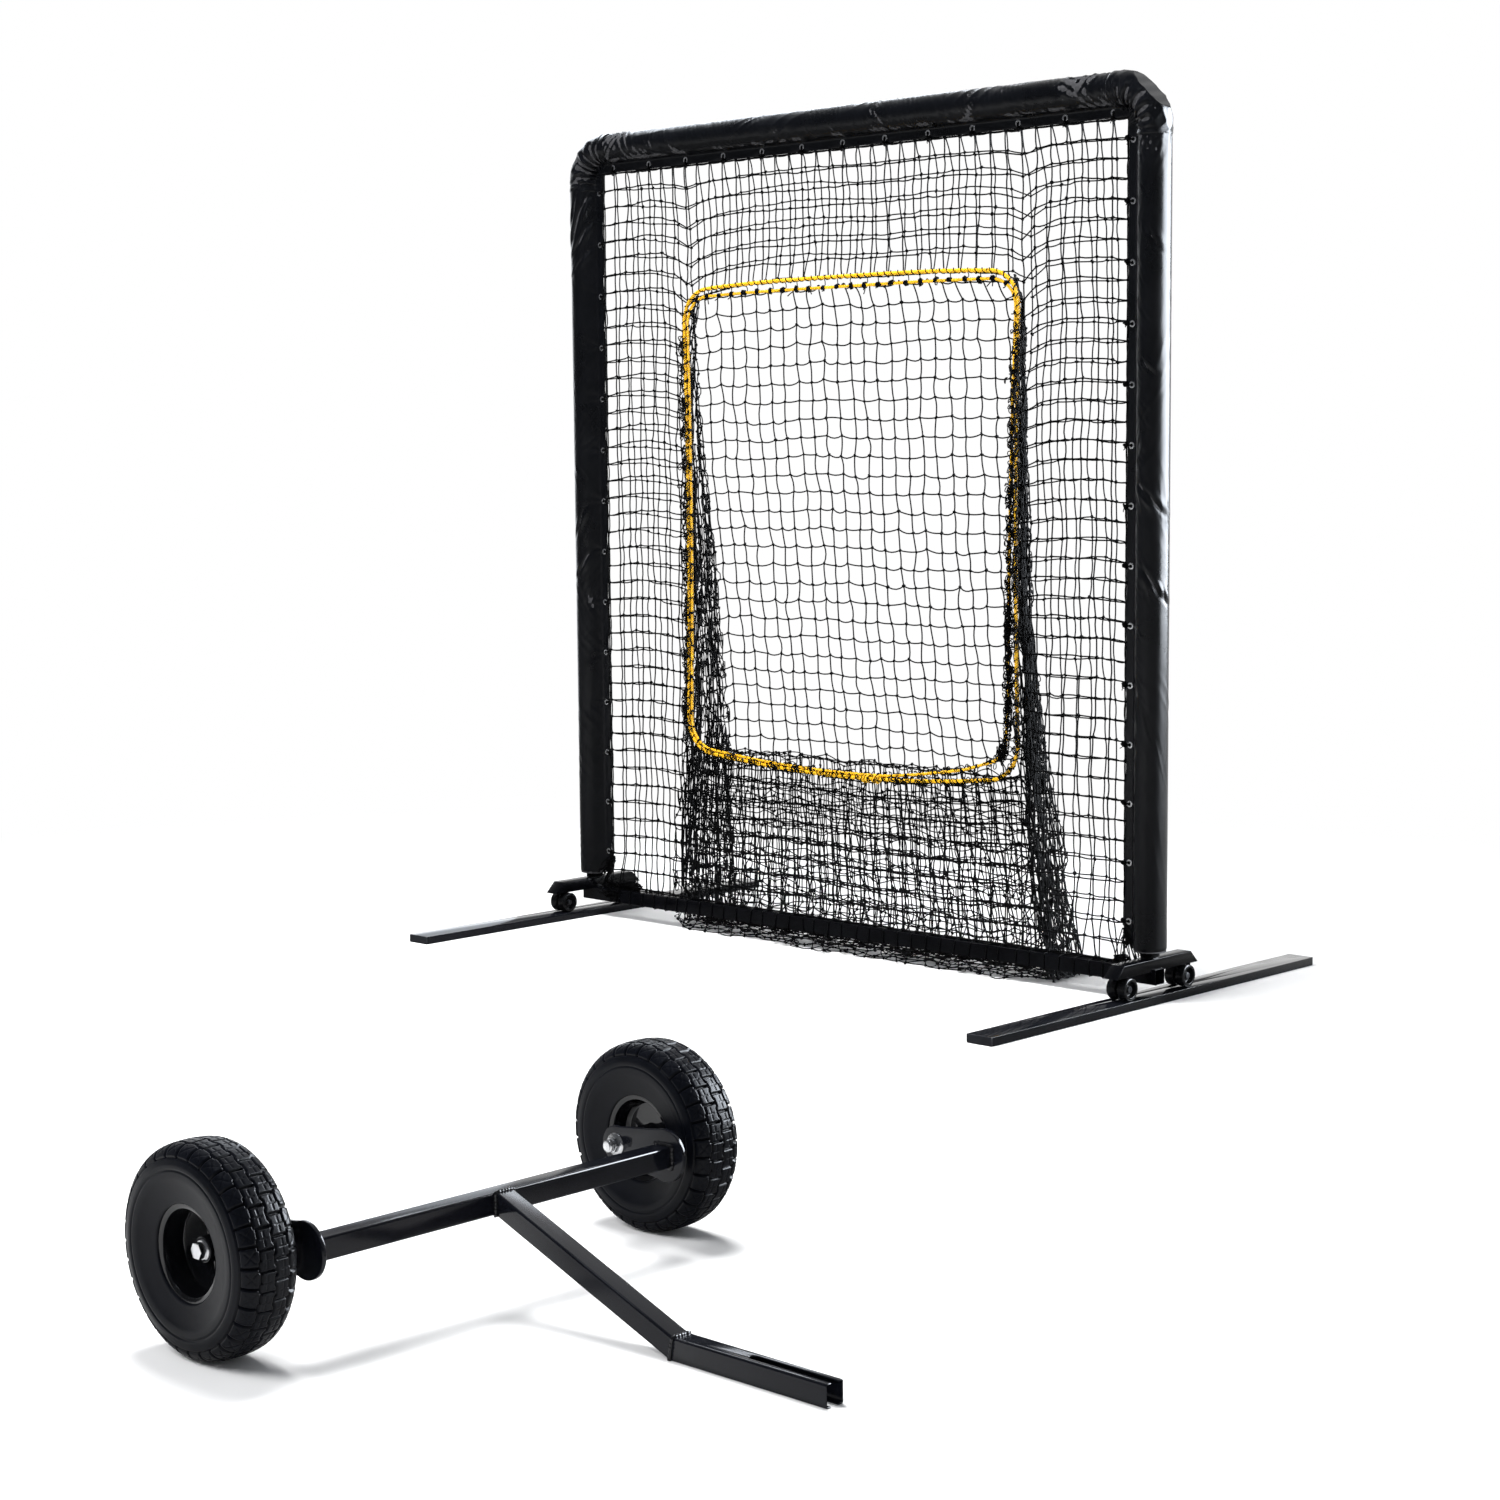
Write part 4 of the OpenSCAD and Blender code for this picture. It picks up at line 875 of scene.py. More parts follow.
def side_panels(cordage):
    """The gathered sides: many uprights close together in deep pleats."""
    for side, seed in ((-1, 404), (1, 505)):
        random = np.random.default_rng(seed)
        columns, rows = 17, 46
        k = np.linspace(0, 1, columns)
        z = np.linspace(SOCK_FLOOR + 0.003, SOCK_TOP - 0.01, rows)
        kk, zz = np.meshgrid(k, z, indexing="ij")
        depth = sock_depth(zz)
        lean = np.minimum(0.045, 0.4 * depth)
        low = clip01(1 - zz / OPEN_HIGH)
        odd = (np.arange(columns) % 2)[:, None]
        wander = slow_field(random, kk * 0.3, zz, 0.5, 0.008)
        pleat = odd * np.minimum(0.030 * low ** 0.6, 0.9 * depth / 4) + wander * low
        gather = 0.014 * np.sin(zz * 9.0 + side) * low
        top = clip01((SOCK_TOP - zz) / 0.10)
        outer = sock_half(zz) * top + (OPEN_HALF - MOUTH_IN) * (1 - top)
        px = side * (outer - lean * kk - pleat + gather * kk * (1 - kk) * 2)
        px += random.normal(0, 0.0030, kk.shape)
        front = np.where(zz < 0.10, 0.029, 0.006)
        py = front + (depth - front + 0.004) * kk + random.normal(0, 0.0030, kk.shape) * low
        pz = zz + random.normal(0, 0.0060, kk.shape) + 0.010 * odd * np.sin(zz * 23 + kk * 5)
        pz = np.clip(pz, SOCK_FLOOR, SOCK_TOP + 0.005)
        py = np.clip(py, 0.004, 0.224)
        knots = at_frame(xyz(px, py, pz))
        # above a ragged height only every third upright goes on
        column = np.arange(columns)[:, None]
        sparse = 1.35 if side < 0 else 1.75
        keep = (column % 3 == 0) | (zz < sparse + 0.25 * np.sin(column * 2.4))
        net_from_grid(cordage, knots, keep, random, radius=0.0017, sag=0.004, knot=0.0044, bow=0.0035)
        # slack twine that hangs in the folds, and long uprights drawn together there
        slack = knots[:, :int(rows * 0.62)].reshape(-1, 3)
        heap(cordage, slack, 150, 0.017, random, 0.0015, (0.36, 0.45, 2.6))
        for _ in range(18):
            into, phase = random.random(), random.uniform(0, TAU)
            z = np.linspace(SOCK_FLOOR + 0.004, random.uniform(0.7, 1.6), 70)
            depth = sock_depth(z)
            fold = 0.016 * clip01(1 - z / OPEN_HIGH) ** 0.6 * (1 + np.sin(z * 6.0 + phase))
            px = side * (sock_half(z) - np.minimum(0.045, 0.4 * depth) * into - fold)
            px = px + 0.0025 * np.sin(z * 45 + phase)
            py = 0.006 + (depth - 0.002) * into + 0.003 * np.sin(z * 31 + phase)
            py = np.clip(py + np.where(z < 0.10, 0.024, 0.0), 0.004, 0.222)
            cordage.lay(at_frame(xyz(px, py, z)), 0.0016, (1, 0.3, 0))


def front_curtain(cordage, seed, slide, back, reach):
    """The sock's front below its mouth: it hangs behind the rail, spills under it and lies on the floor."""
    random = np.random.default_rng(seed)
    columns, rows = 27, 22
    u = np.linspace(-1, 1, columns)
    knots = np.zeros((columns, rows, 3))
    for i, v in enumerate(u):
        spill = math.cos(v * math.pi / 2) ** 0.45 if abs(v) < 1 else 0.0
        spill *= reach * (0.84 + 0.16 * math.sin(v * 31 + seed))
        path = np.array([(0.004, OPEN_LOW + 0.030), (0.008, 0.40), (0.014, 0.24), (0.025, 0.12),
                         (0.0265, 0.060), (0.020, 0.036), (-0.010, 0.032), (-0.020 - 0.030 * spill, 0.029),
                         (-0.022 - 0.036 * spill, 0.015), (-0.016 - 0.024 * spill, 0.0055),
                         (0.03, 0.0045), (0.10, 0.0045), (0.16, 0.005), (0.21, 0.0065)])
        if spill < 0.25:
            path[5:10, 0] = np.maximum(path[5:10, 0], 0.012)
        y, z = evenly(path, rows)[0].T
        wide = np.interp(z, [0, 0.545], [sock_half(np.array(0.0)) * 0.98, OPEN_HALF - MOUTH_IN])
        knots[i] = xyz(v * wide, y, z)
    free = np.linspace(0.2, 1, rows)[None]
    knots[..., 0] += slide + random.normal(0, 0.0050, knots.shape[:2]) * free
    hang = knots[..., 2] > 0.10
    knots[..., 1] += (back + np.abs(random.normal(0, 0.0022, knots.shape[:2])) * free) * hang
    floor_zone = knots[..., 2] < 0.030
    knots[..., 1] += random.normal(0, 0.007, knots.shape[:2]) * floor_zone
    knots[..., 2] += np.abs(random.normal(0, 0.0035, knots.shape[:2])) * floor_zone
    knots[..., 2] += random.normal(0, 0.006, knots.shape[:2]) * hang
    knots[..., 0] = np.clip(knots[..., 0], -0.695, 0.695)
    knots[..., 1] = np.clip(knots[..., 1], -0.066, 0.222)
    knots[..., 2] = np.clip(knots[..., 2], 0.0035, None)
    placed = at_frame(knots)
    spilt = (knots[..., 2] < 0.031) & (knots[..., 1] < 0.10)
    # only the layer with the full reach spills
    net_from_grid(cordage, placed, ~spilt | (reach == 1.0), random, radius=0.0016, sag=0.0, bow=0.0026,
                  steps=5)
    low = placed[(knots[..., 2] < 0.036) & (knots[..., 1] < 0.10)]
    heap(cordage, low, 26, 0.016, random, 0.0014, (1.3, 0.7, 0.35), shift=(0, 0, 0.003))


def make_sock():
    cordage = back_panel()
    side_panels(cordage)
    for layer in ((606, 0.0, 0.0, 1.0), (717, 0.024, 0.010, 0.55), (828, -0.013, 0.026, 0.2)):
        front_curtain(cordage, *layer)
    piece = cordage.piece("sock_netting", NET_TWINE)
    finish_piece(piece, "net_frame", ["sock_net"])


make_sock()


# ---------- ropes ----------

def opening_line(y, count, inset=None):
    """Points along the rope round the opening, with its sagging lower run. inset(x, z) draws it in."""
    half, low, high = OPEN_HALF + 0.0015, OPEN_LOW - 0.0015, OPEN_HIGH + 0.0015
    corner = 0.090
    outline = []
    for cx, cz, start in ((half - corner, low + corner, -90), (half - corner, high - corner, 0),
                          (-half + corner, high - corner, 90), (-half + corner, low + corner, 180)):
        for k in range(13):
            a = math.radians(start + 7.5 * k)
            outline.append((cx + corner * math.cos(a), cz + corner * math.sin(a)))
    x, z = evenly(np.array(outline + outline[:1]), count, endpoint=False)[0].T
    middle = (OPEN_LOW + OPEN_HIGH) / 2
    z = z + np.where(z < middle, (rope_low(x) - OPEN_LOW) * clip01((middle - z) / 0.5),
                     (rope_high(x) - OPEN_HIGH) * clip01((z - middle) / 0.5))
    bowed = np.sin(math.pi * clip01((z - OPEN_LOW) / 1.35)) * (np.abs(x) > half - 0.01)
    x = x - np.sign(x) * 0.010 * bowed
    line = xyz(x, y, z)
    if inset is not None:
        ahead = unit(np.roll(line, -3, 0) - np.roll(line, 3, 0))
        inward = xyz(-ahead[:, 2], 0, ahead[:, 0])
        draw = inset(x, z)
        draw = sum(np.roll(draw, k) for k in range(-12, 13)) / 25
        line = line + inward * draw[:, None]
    return line


def mouth_inset(x, z):
    """How far the mouth's rope hangs in from the border rope: most at the lower right, less along the top."""
    up = clip01((z - OPEN_LOW) / (OPEN_HIGH - OPEN_LOW))
    swag = clip01(np.cos(x / OPEN_HALF * math.pi / 2)) ** 0.30
    swag = swag * clip01((up - 0.94) / 0.04)
    right = clip01((x - 0.50) / 0.05) * (1 - up)
    foot = clip01((x - 0.16) / 0.36) * clip01((0.10 - up) / 0.06)
    corner = clip01((x - 0.44) / 0.08) * clip01((0.16 - up) / 0.10)
    return 0.0095 + 0.0175 * swag + 0.0270 * np.maximum(right, foot) + 0.0120 * corner


def winding(line, pitch, aside):
    """A closed line's two directions across, and the angle of a strand that winds round it."""
    ahead = unit(np.roll(line, -1, 0) - np.roll(line, 1, 0))
    first = unit(np.cross(ahead, np.asarray(aside, float)))
    second = np.cross(ahead, first)
    steps = np.linalg.norm(np.roll(line, -1, 0) - line, axis=1)
    total = steps.sum()
    turns = max(1, round(total / pitch))
    return first, second, TAU * turns * np.concatenate([[0], np.cumsum(steps)[:-1]]) / total


def wound(line, first, second, radius, angle):
    return line + radius * (np.cos(angle)[:, None] * first + np.sin(angle)[:, None] * second)


def twisted_rope(cordage, line, radius, pitch, aside):
    """Strands laid round each other along a closed line."""
    first, second, phase = winding(line, pitch, aside)
    strand = radius * 0.54
    for k in range(ROPE_STRANDS):
        cord = wound(line, first, second, radius - strand, phase + TAU * k / ROPE_STRANDS)
        cordage.lay(cord, strand, aside, sides=7, closed=True)


def wound_cord(cordage, line, radius, thick, pitch, aside):
    first, second, phase = winding(line, pitch, aside)
    cordage.lay(wound(line, first, second, radius, phase), thick, aside, sides=5, closed=True)


def make_ropes():
    aside = (0.0, 1.0, 0.0)
    border = at_frame(opening_line(-0.0072, BORDER_POINTS))
    rope = Cordage()
    twisted_rope(rope, border, 0.0058, 0.022, aside)
    # the coil where the border rope's ends are joined
    where = border[np.argmin(np.hypot(border[:, 0] - CENTRE_X - 0.10, border[:, 2] - 0.50))]
    a = full_turn(24)
    for shift in (-0.026, -0.013, 0.012, 0.024):
        ring = xyz(where[0] + shift + 0.002 * np.sin(a), where[1] + 0.0085 * np.cos(a),
                   where[2] + 0.0085 * np.sin(a))
        rope.lay(ring, 0.0042, (1, 0, 0), closed=True)
    finish_piece(rope.piece("border_rope", YELLOW_ROPE), "net_frame", ["opening_rope"])

    mouth = at_frame(opening_line(-0.0032, MOUTH_POINTS, mouth_inset))
    rope = Cordage()
    twisted_rope(rope, mouth, 0.0047, 0.020, aside)
    finish_piece(rope.piece("mouth_line", YELLOW_ROPE), "net_frame", ["mouth_rope"])

    lacing = Cordage()
    wound_cord(lacing, border, 0.0067, 0.0014, 0.024, aside)
    # knots that hold the sock on the mouth's rope, their tails, and the cords that carry the mouth
    random = np.random.default_rng(77)
    held = mouth[::14]
    centres = held + random.normal(0, 0.0012, held.shape)
    lacing.knots(centres, 0.0066, 78)
    lacing.knots(centres[centres[:, 2] > OPEN_HIGH - 0.06] + (0, -0.002, 0), 0.0092, 80)
    near = np.array([border[np.argmin(np.linalg.norm(border - c, axis=1))] for c in centres])
    strands(lacing, centres + (0, 0.004, 0), near + (0, 0.005, 0), 0.0014, random, bow=0.003)
    for _ in range(2):
        tails = centres + random.normal(0, 0.006, centres.shape) + (0, -0.004, -0.008)
        strands(lacing, centres, tails, 0.0016, random, bow=0.002)
    lacing.knots(border[::17] + random.normal(0, 0.001, border[::17].shape), 0.0048, 79)
    # loose turns packed between the two ropes up the right side and along the lower run
    for line, side, low, high, count in ((mouth, 1, 0.52, 1.60, 240), (mouth, 1, 0.52, 1.00, 120),
                                         (border, 1, 0.55, 1.72, 260), (border, -1, 0.56, 1.72, 330)):
        pool = line[side * (line[:, 0] - CENTRE_X) > 0.54]
        pool = pool[(pool[:, 2] > low) & (pool[:, 2] < high)]
        heap(lacing, pool, count, 0.011, random, 0.0014, (0.7, 0.8, 1.3), 0.005,
             (side * 0.004, -0.005, 0))
    for line, before, count in ((mouth, 0.004, 110), (border, -0.006, 120)):
        pool = line[(line[:, 2] < 0.60) & (np.abs(line[:, 0] - CENTRE_X) < 0.56)]
        heap(lacing, pool, count, 0.010, random, scatter=0.003, shift=(0, before, 0))
    finish_piece(lacing.piece("rope_lacing", TIE_CORD), "net_frame")


make_ropes()


# ---------- ties, lashing and eyelets ----------

def tie_loop(cordage, hole, edge, aside, random):
    """A doubled cord from a grommet's hole to the net's selvage, with a knot at the flap's edge."""
    hole, edge = np.array(hole, float), np.array(edge, float)
    along = unit(edge - hole)
    across = np.array([0.0, 1.0, 0.0])
    middle, half = (hole + edge) / 2, np.linalg.norm(edge - hole) / 2
    a = full_turn(20)[:, None]
    loop = middle + along * (half + 0.001) * np.cos(a) + across * 0.0040 * np.sin(a)
    for shift in (-0.0014, 0.0014):
        cordage.lay(loop + np.array(aside) * shift, 0.0013, aside, closed=True)
    knot = hole * 0.16 + edge * 0.84 + (0, -0.0045, 0) + np.array(aside) * random.normal(0, 0.0025)
    cordage.knots([knot, knot + along * 0.003 + np.array(aside) * 0.003], 0.0060,
                  int(random.integers(1 << 30)))
    tangle(cordage, knot, 0.0055, 2, random, 0.0012)
    tail = knot + random.normal(0, 0.004, 3) + (0, -0.002, -0.008)
    strands(cordage, knot[None], tail[None], 0.0012, random)


def make_ties():
    random = np.random.default_rng(12)
    ties = Cordage()
    for side in (-1, 1):
        for z in POST_GROMMETS:
            hole = at_frame([side * (POST_X - POST_REACH + GROMMET_IN), 0, z])
            edge = at_frame([side * (NET_HALF - 0.002), 0, z])
            tie_loop(ties, hole, edge, (0, 0, 1), random)
    for x in TOP_GROMMETS:
        hole = at_frame([x, 0, TOP_Z - TOP_REACH + GROMMET_IN])
        edge = at_frame([x, 0, NET_HIGH - 0.002])
        tie_loop(ties, hole, edge, (1, 0, 0), random)
    finish_piece(ties.piece("grommet_ties", TIE_CORD), "net_frame", ["net_ties"])


def make_lashing():
    """Cord turns that bind the net's foot to the rail."""
    random = np.random.default_rng(31)
    cords = Cordage()
    o = RAIL_SIDE / 2 + 0.0016
    z0 = RAIL_LOW + RAIL_SIDE / 2
    corner = [(-o, -o), (-o, o), (o, o), (o, -o)]
    for x in COLUMNS[1:-1]:
        shift = random.normal(0, 0.003)
        skew = random.normal(0.004, 0.003)
        outline = []
        for (y0, v0), (y1, v1) in zip(corner, corner[1:] + corner[:1]):
            for t in np.linspace(0.08, 0.92, 5):
                outline.append((x + shift + skew * (v0 + (v1 - v0) * t) / o * 0.5, y0 + (y1 - y0) * t,
                                z0 + v0 + (v1 - v0) * t))
        cords.lay(at_frame(outline), 0.00135, (1, 0, 0), closed=True)
        top = at_frame([x + shift, -0.002, NET_LOW + 0.001])
        cords.knots([top], 0.0044, int(random.integers(1 << 30)))
    finish_piece(cords.piece("rail_cord", TIE_CORD), "net_frame", ["rail_lashing"])


def make_foot_gathers():
    """The net's lower corners, bunched and tied round the foot of each post."""
    random = np.random.default_rng(61)
    cords = Cordage()
    for side in (-1, 1):
        post = at_frame([side * POST_X, 0, 0])
        a = full_turn(28)[:, None]
        for z in (0.1155, 0.1190, 0.1225):
            ring = post + np.hstack([0.0236 * np.cos(a), 0.0236 * np.sin(a),
                                     z + 0.0018 * np.sin(2 * a + side)])
            cords.lay(ring, 0.0017, (0, 0, 1), closed=True)
        start = at_frame([side * (NET_HALF + 0.002), 0.003, 0.178])

        def gather(end):
            begin = start + random.normal(0, 0.006, 3)
            strands(cords, begin[None], end[None], 0.0015, random, bow=0.004, steps=7)

        for k in range(9):
            gather(post + np.array([-side * 0.024, random.uniform(-0.018, 0.010),
                                    0.1145 + 0.012 * random.random()]))
            gather(at_frame([side * (0.925 + 0.010 * k), random.uniform(-0.018, 0.006),
                             RAIL_LOW + RAIL_SIDE + 0.003]))
        bunches = [((side * (NET_HALF + 0.008), -0.004, 0.150), 0.016, 14 if side < 0 else 6, 0.0015,
                    (0.8, 0.5, 1.4))]
        if side < 0:
            bunches += [((0.070 - NET_HALF, 0.004, 0.102), 0.018, 22, 0.0014, (2.6, 0.7, 0.6)),
                        ((0.020 - NET_HALF, -0.018, 0.072), 0.020, 26, 0.0015, (2.0, 0.5, 1.0))]
        bunches += [((side * (NET_HALF - 0.005), 0.0, 0.100), 0.014, 16, 0.0015, (1.6, 1.0, 0.7))]
        for centre, size, count, radius, stretch in bunches:
            tangle(cords, at_frame(centre), size, count, random, radius, stretch)
    finish_piece(cords.piece("foot_gathers", TIE_CORD), "net_frame")


make_ties()
make_lashing()
make_foot_gathers()


# ---------- steelwork ----------

def both(*names):
    return [name.format(side) for name in names for side in ("left", "right")]


ROLLERS = [f"{side}_{end}_roller" for side in ("left", "right") for end in ("front", "rear")]


def dress_steel():
    """Painted, plated and moulded pieces keep the CAD's shape, with their edges broken."""
    groups = [
        (both("{}_saddle"), FRAME_PAINT, 0.0012, "black_paint"),
        (both("{}_leg"), LEG_PAINT, 0.0010, "black_paint"),
        (both("{}_leg_caps"), CAP_PLASTIC, 0.0012, "end_cap"),
        (["bottom_rail", *both("{}_post")], FRAME_PAINT, 0.0005, "black_paint"),
        (both("{}_pin"), FRAME_PAINT, 0.0008, "black_paint"),
        (ROLLERS, ROLLER_PLASTIC, 0.0009, "roller_plastic"),
        ([f"{roller}_bolt" for roller in ROLLERS], BOLT_STEEL, 0.0010, "zinc"),
        ([*both("{}_grommets"), "top_grommets"], EYELET, 0.0003, "eyelet"),
        (["kit_beam", "kit_tongue", "kit_fork"], KIT_PAINT, 0.0013, "black_paint"),
        (both("kit_{}_ear"), KIT_PAINT, 0.0012, "black_paint"),
        (both("kit_{}_rim"), RIM_PAINT, 0.0010, "rim"),
        (both("kit_{}_bearings", "kit_{}_axle", "kit_{}_nut"), ZINC, 0.0009, "zinc"),
    ]
    for names, material, width, slot in groups:
        for node in names:
            piece = softened(node, material, width)
            finish_piece(piece, frame["nodes"][node]["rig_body"], [node])
    for names, material in (((*both("{}_bend"), "top_pipe"), FRAME_PAINT),
                            ((*both("{}_foam"), "top_foam"), FOAM)):
        for node in names:
            mesh = frame["nodes"][node].data
            mesh.materials.clear()
            mesh.materials.append(material)


dress_steel()


def weld_line(cordage, line, radius, seed, aside):
    """A rippled bead along a closed joint."""
    random = np.random.default_rng(seed)
    line = np.asarray(line, float)
    n = len(line)
    size = radius * (1 + 0.22 * np.sin(np.arange(n) * 2.1) + random.normal(0, 0.06, n))
    cordage.lay(line + random.normal(0, radius * 0.06, line.shape), size[None], aside, sides=8, closed=True)


def square_round(centre, half, u, v):
    """Points round a square tube's outline."""
    a = full_turn(64)
    c, s = np.cos(a), np.sin(a)
    k = half / np.maximum(np.abs(c), np.abs(s)) ** 0.94
    return np.asarray(centre) + (k * c)[:, None] * np.asarray(u, float) + (k * s)[:, None] * np.asarray(
        v, float)


WASHERS = ((0.4970, 0.4958, 0.0188), (0.3850, 0.3833, 0.0205), (0.3700, 0.3640, 0.0112))
WASHER_BORE_R = 0.0079


def make_axle_washers():
    """A washer under each axle bolt's head and nut, and the lock nut's collar."""
    turned = Cordage()
    for side in (-1, 1):
        for near, far, radius in WASHERS:
            reach = np.array([near, near - 0.0001, far + 0.0001, far])
            line = xyz(KIT_AT.x, KIT_AT.y + side * reach, KIT_AT.z)
            turned.lay(line, np.array([[WASHER_BORE_R, radius, radius, WASHER_BORE_R]]),
                       (0.0, 0.0, 1.0), sides=40)
    finish_piece(turned.piece("kit_axle_washers", ZINC), "kit")


make_axle_washers()


TONGUE_START = 0.141
KINK_X = 0.546
KINK_Z = 0.019


def make_welds():
    frame_welds = Cordage()
    a = full_turn(60)
    for side in (-1, 1):
        ring = xyz(side * POST_X + 0.0221 * np.cos(a), 0.0221 * np.sin(a), 0.1125)
        weld_line(frame_welds, at_frame(ring), 0.0022, 3 + side, (0, 0, 1))
    finish_piece(frame_welds.piece("post_welds", WELD), "net_frame")
    kit_welds = Cordage()
    root = KIT_AT + Vector((TONGUE_START + 0.0002, 0, 0))
    weld_line(kit_welds, square_round(root, 0.0195, (0, 1, 0), (0, 0, 1)), 0.0036, 11, (1, 0, 0))
    fall = math.atan((TYRE_R - KINK_Z) / (KINK_X - TONGUE_START))
    kink = Vector((KIT_AT.x + KINK_X, KIT_AT.y, KINK_Z))
    tip = (math.sin(fall / 2), 0, math.cos(fall / 2))
    weld_line(kit_welds, square_round(kink, 0.0195, (0, 1, 0), tip), 0.0033, 12,
              (math.cos(fall / 2), 0, -math.sin(fall / 2)))
    for side in (-1, 1):
        centre = KIT_AT + Vector((0.122, side * 0.3845, 0))
        weld_line(kit_welds, square_round(centre, 0.0200, (1, 0, 0), (0, 0, 1)), 0.0044, 14 + side,
                  (0, 1, 0))
    finish_piece(kit_welds.piece("kit_welds", WELD), "kit")


make_welds()


# ---------- tyres ----------

PITCHES = 32
PER_PITCH = 24
SECTION_POINTS = 184


def smooth_step(x, low, high):
    t = clip01((x - low) / (high - low))
    return t * t * (3 - 2 * t)


def groove(distance, width, soft=0.0009):
    """1 in the groove's floor, 0 outside it."""
    return 1 - smooth_step(np.abs(distance), width / 2 - soft / 2, width / 2 + soft)


def tyre_section():
    """The tyre's outer skin from one bead to the other, as (radius, axial), with its own length."""
    m = (TYRE_R + RIM_R) / 2
    h, w, r = TYRE_HALF, 0.0396, TYRE_R
    half = np.array([(RIM_R - 0.0055, w + 0.0012), (RIM_R - 0.0055, w + 0.0042),
                     (RIM_R + 0.005, w + 0.0062), (m - 0.018, h - 0.0042), (m - 0.006, h - 0.0006),
                     (m + 0.010, h), (r - 0.030, h - 0.0012), (r - 0.018, h - 0.0045),
                     (r - 0.009, h - 0.0105), (r - 0.0035, h - 0.0200), (r - 0.0010, h - 0.0330),
                     (r, 0.0)])
    full = np.vstack([half, half[-2::-1] * (1, -1)])
    for _ in range(3):
        q = full[:-1] * 0.75 + full[1:] * 0.25
        p = full[:-1] * 0.25 + full[1:] * 0.75
        full = np.vstack([full[:1], np.stack([q, p], 1).reshape(-1, 2), full[-1:]])
    points, at, length = evenly(full, SECTION_POINTS)
    ahead = np.gradient(points, axis=0)
    normals = unit(np.stack([-ahead[:, 1], ahead[:, 0]], -1))
    return points, normals, at - length / 2


def tread_cut(turn, run):
    """Depth cut into the tread at a turn (in pitches) and a distance across it."""
    side = np.sign(run)
    off = np.abs(run)
    pitch = TAU * TYRE_R / PITCHES
    zig = 0.0016 * np.clip(4.0 * (2 * np.abs(2 * (turn % 1) - 1) - 1), -1, 1)
    cut = 0.0056 * groove(run - zig, 0.0028)
    shifted = turn + np.where(side > 0, 0.5, 0.0)
    local = (shifted % 1 - 0.5) * pitch
    edge = 0.0272 + 0.0014 * np.sign(np.sin(TAU * shifted))
    centre_row = (off > np.abs(zig)) & (off < edge)
    cut = np.maximum(cut, 0.0056 * groove(np.abs(local) - pitch / 2, 0.0028) * centre_row)
    cut = np.maximum(cut, 0.0058 * groove(off - edge, 0.0030))
    middle = 0.0155
    dash = groove(off - middle, 0.0016, 0.0007) * ((np.abs(local) > 0.0024) & (np.abs(local) < 0.0122))
    bar = groove(local, 0.0016, 0.0007) * (np.abs(off - middle) < 0.0066)
    cut = np.maximum(cut, 0.0014 * np.maximum(dash, bar) * (off < edge - 0.002))
    # shoulder lugs, with a crossed sipe in each
    local2 = ((turn + np.where(side > 0, 0.25, 0.75)) % 1 - 0.5) * pitch
    lug = (off > edge) & (off < 0.0610)
    cut = np.maximum(cut, 0.0066 * groove(np.abs(local2) - pitch / 2, 0.0042) * lug)
    cross = np.minimum(np.abs((off - 0.0425) - local2 * 0.9), np.abs((off - 0.0425) + local2 * 0.9))
    cut = np.maximum(cut, 0.0013 * groove(cross, 0.0015, 0.0007) * (np.abs(local2) < 0.0085) * (off < 0.053))
    cut = np.maximum(cut, groove(off - 0.0600, 0.0024) * 0.0026)
    # rectangles let into the ring below the shoulder
    local3 = ((turn * 2) % 1 - 0.5) * pitch / 2
    ring = groove(off - 0.0690, 0.0110, 0.001)
    cut = cut - 0.0015 * ring * (1 - groove(np.abs(local3) - pitch / 4, 0.0030, 0.001))
    return np.maximum(cut, 0.0012 * groove(off - 0.0800, 0.0020))


def make_tyre(side, word):
    points, normals, run = tyre_section()
    count = PITCHES * PER_PITCH
    turn = np.arange(count) / PER_PITCH
    cut = tread_cut(turn[:, None], run[None])
    shaped = points[None] - normals[None] * cut[..., None]
    inner = np.array([(RIM_R - 0.012, -0.0336), (RIM_R - 0.012, 0.0336)])
    shaped = np.concatenate([np.broadcast_to(inner[1], (count, 1, 2)), shaped,
                             np.broadcast_to(inner[0], (count, 1, 2))], 1)
    a = TAU * turn / PITCHES
    radial, axial = shaped[..., 0], shaped[..., 1]
    skin = xyz(KIT_AT.x + radial * np.cos(a)[:, None], KIT_AT.y + side * (HALF_TRACK + axial),
               KIT_AT.z + radial * np.sin(a)[:, None])
    faces = grid_faces(count, shaped.shape[1], wrap_rows=True, wrap_columns=True)
    if side > 0:
        faces = faces[:, ::-1]
    piece = make_piece(f"kit_{word}_tread_tyre", skin.reshape(-1, 3), faces, RUBBER)
    finish_piece(piece, f"kit_{word}_wheel", [f"kit_{word}_tyre"])


make_tyre(1, "left")
make_tyre(-1, "right")


# ---------- floor and light ----------

WHITE = (1, 1, 1, 1)
FLOOR_GREY = (0.92, 0.92, 0.92, 1)
FADE_CENTRE = (-0.5, -1.3, 0)
FADE_FROM, FADE_TO = 2.6, 4.6

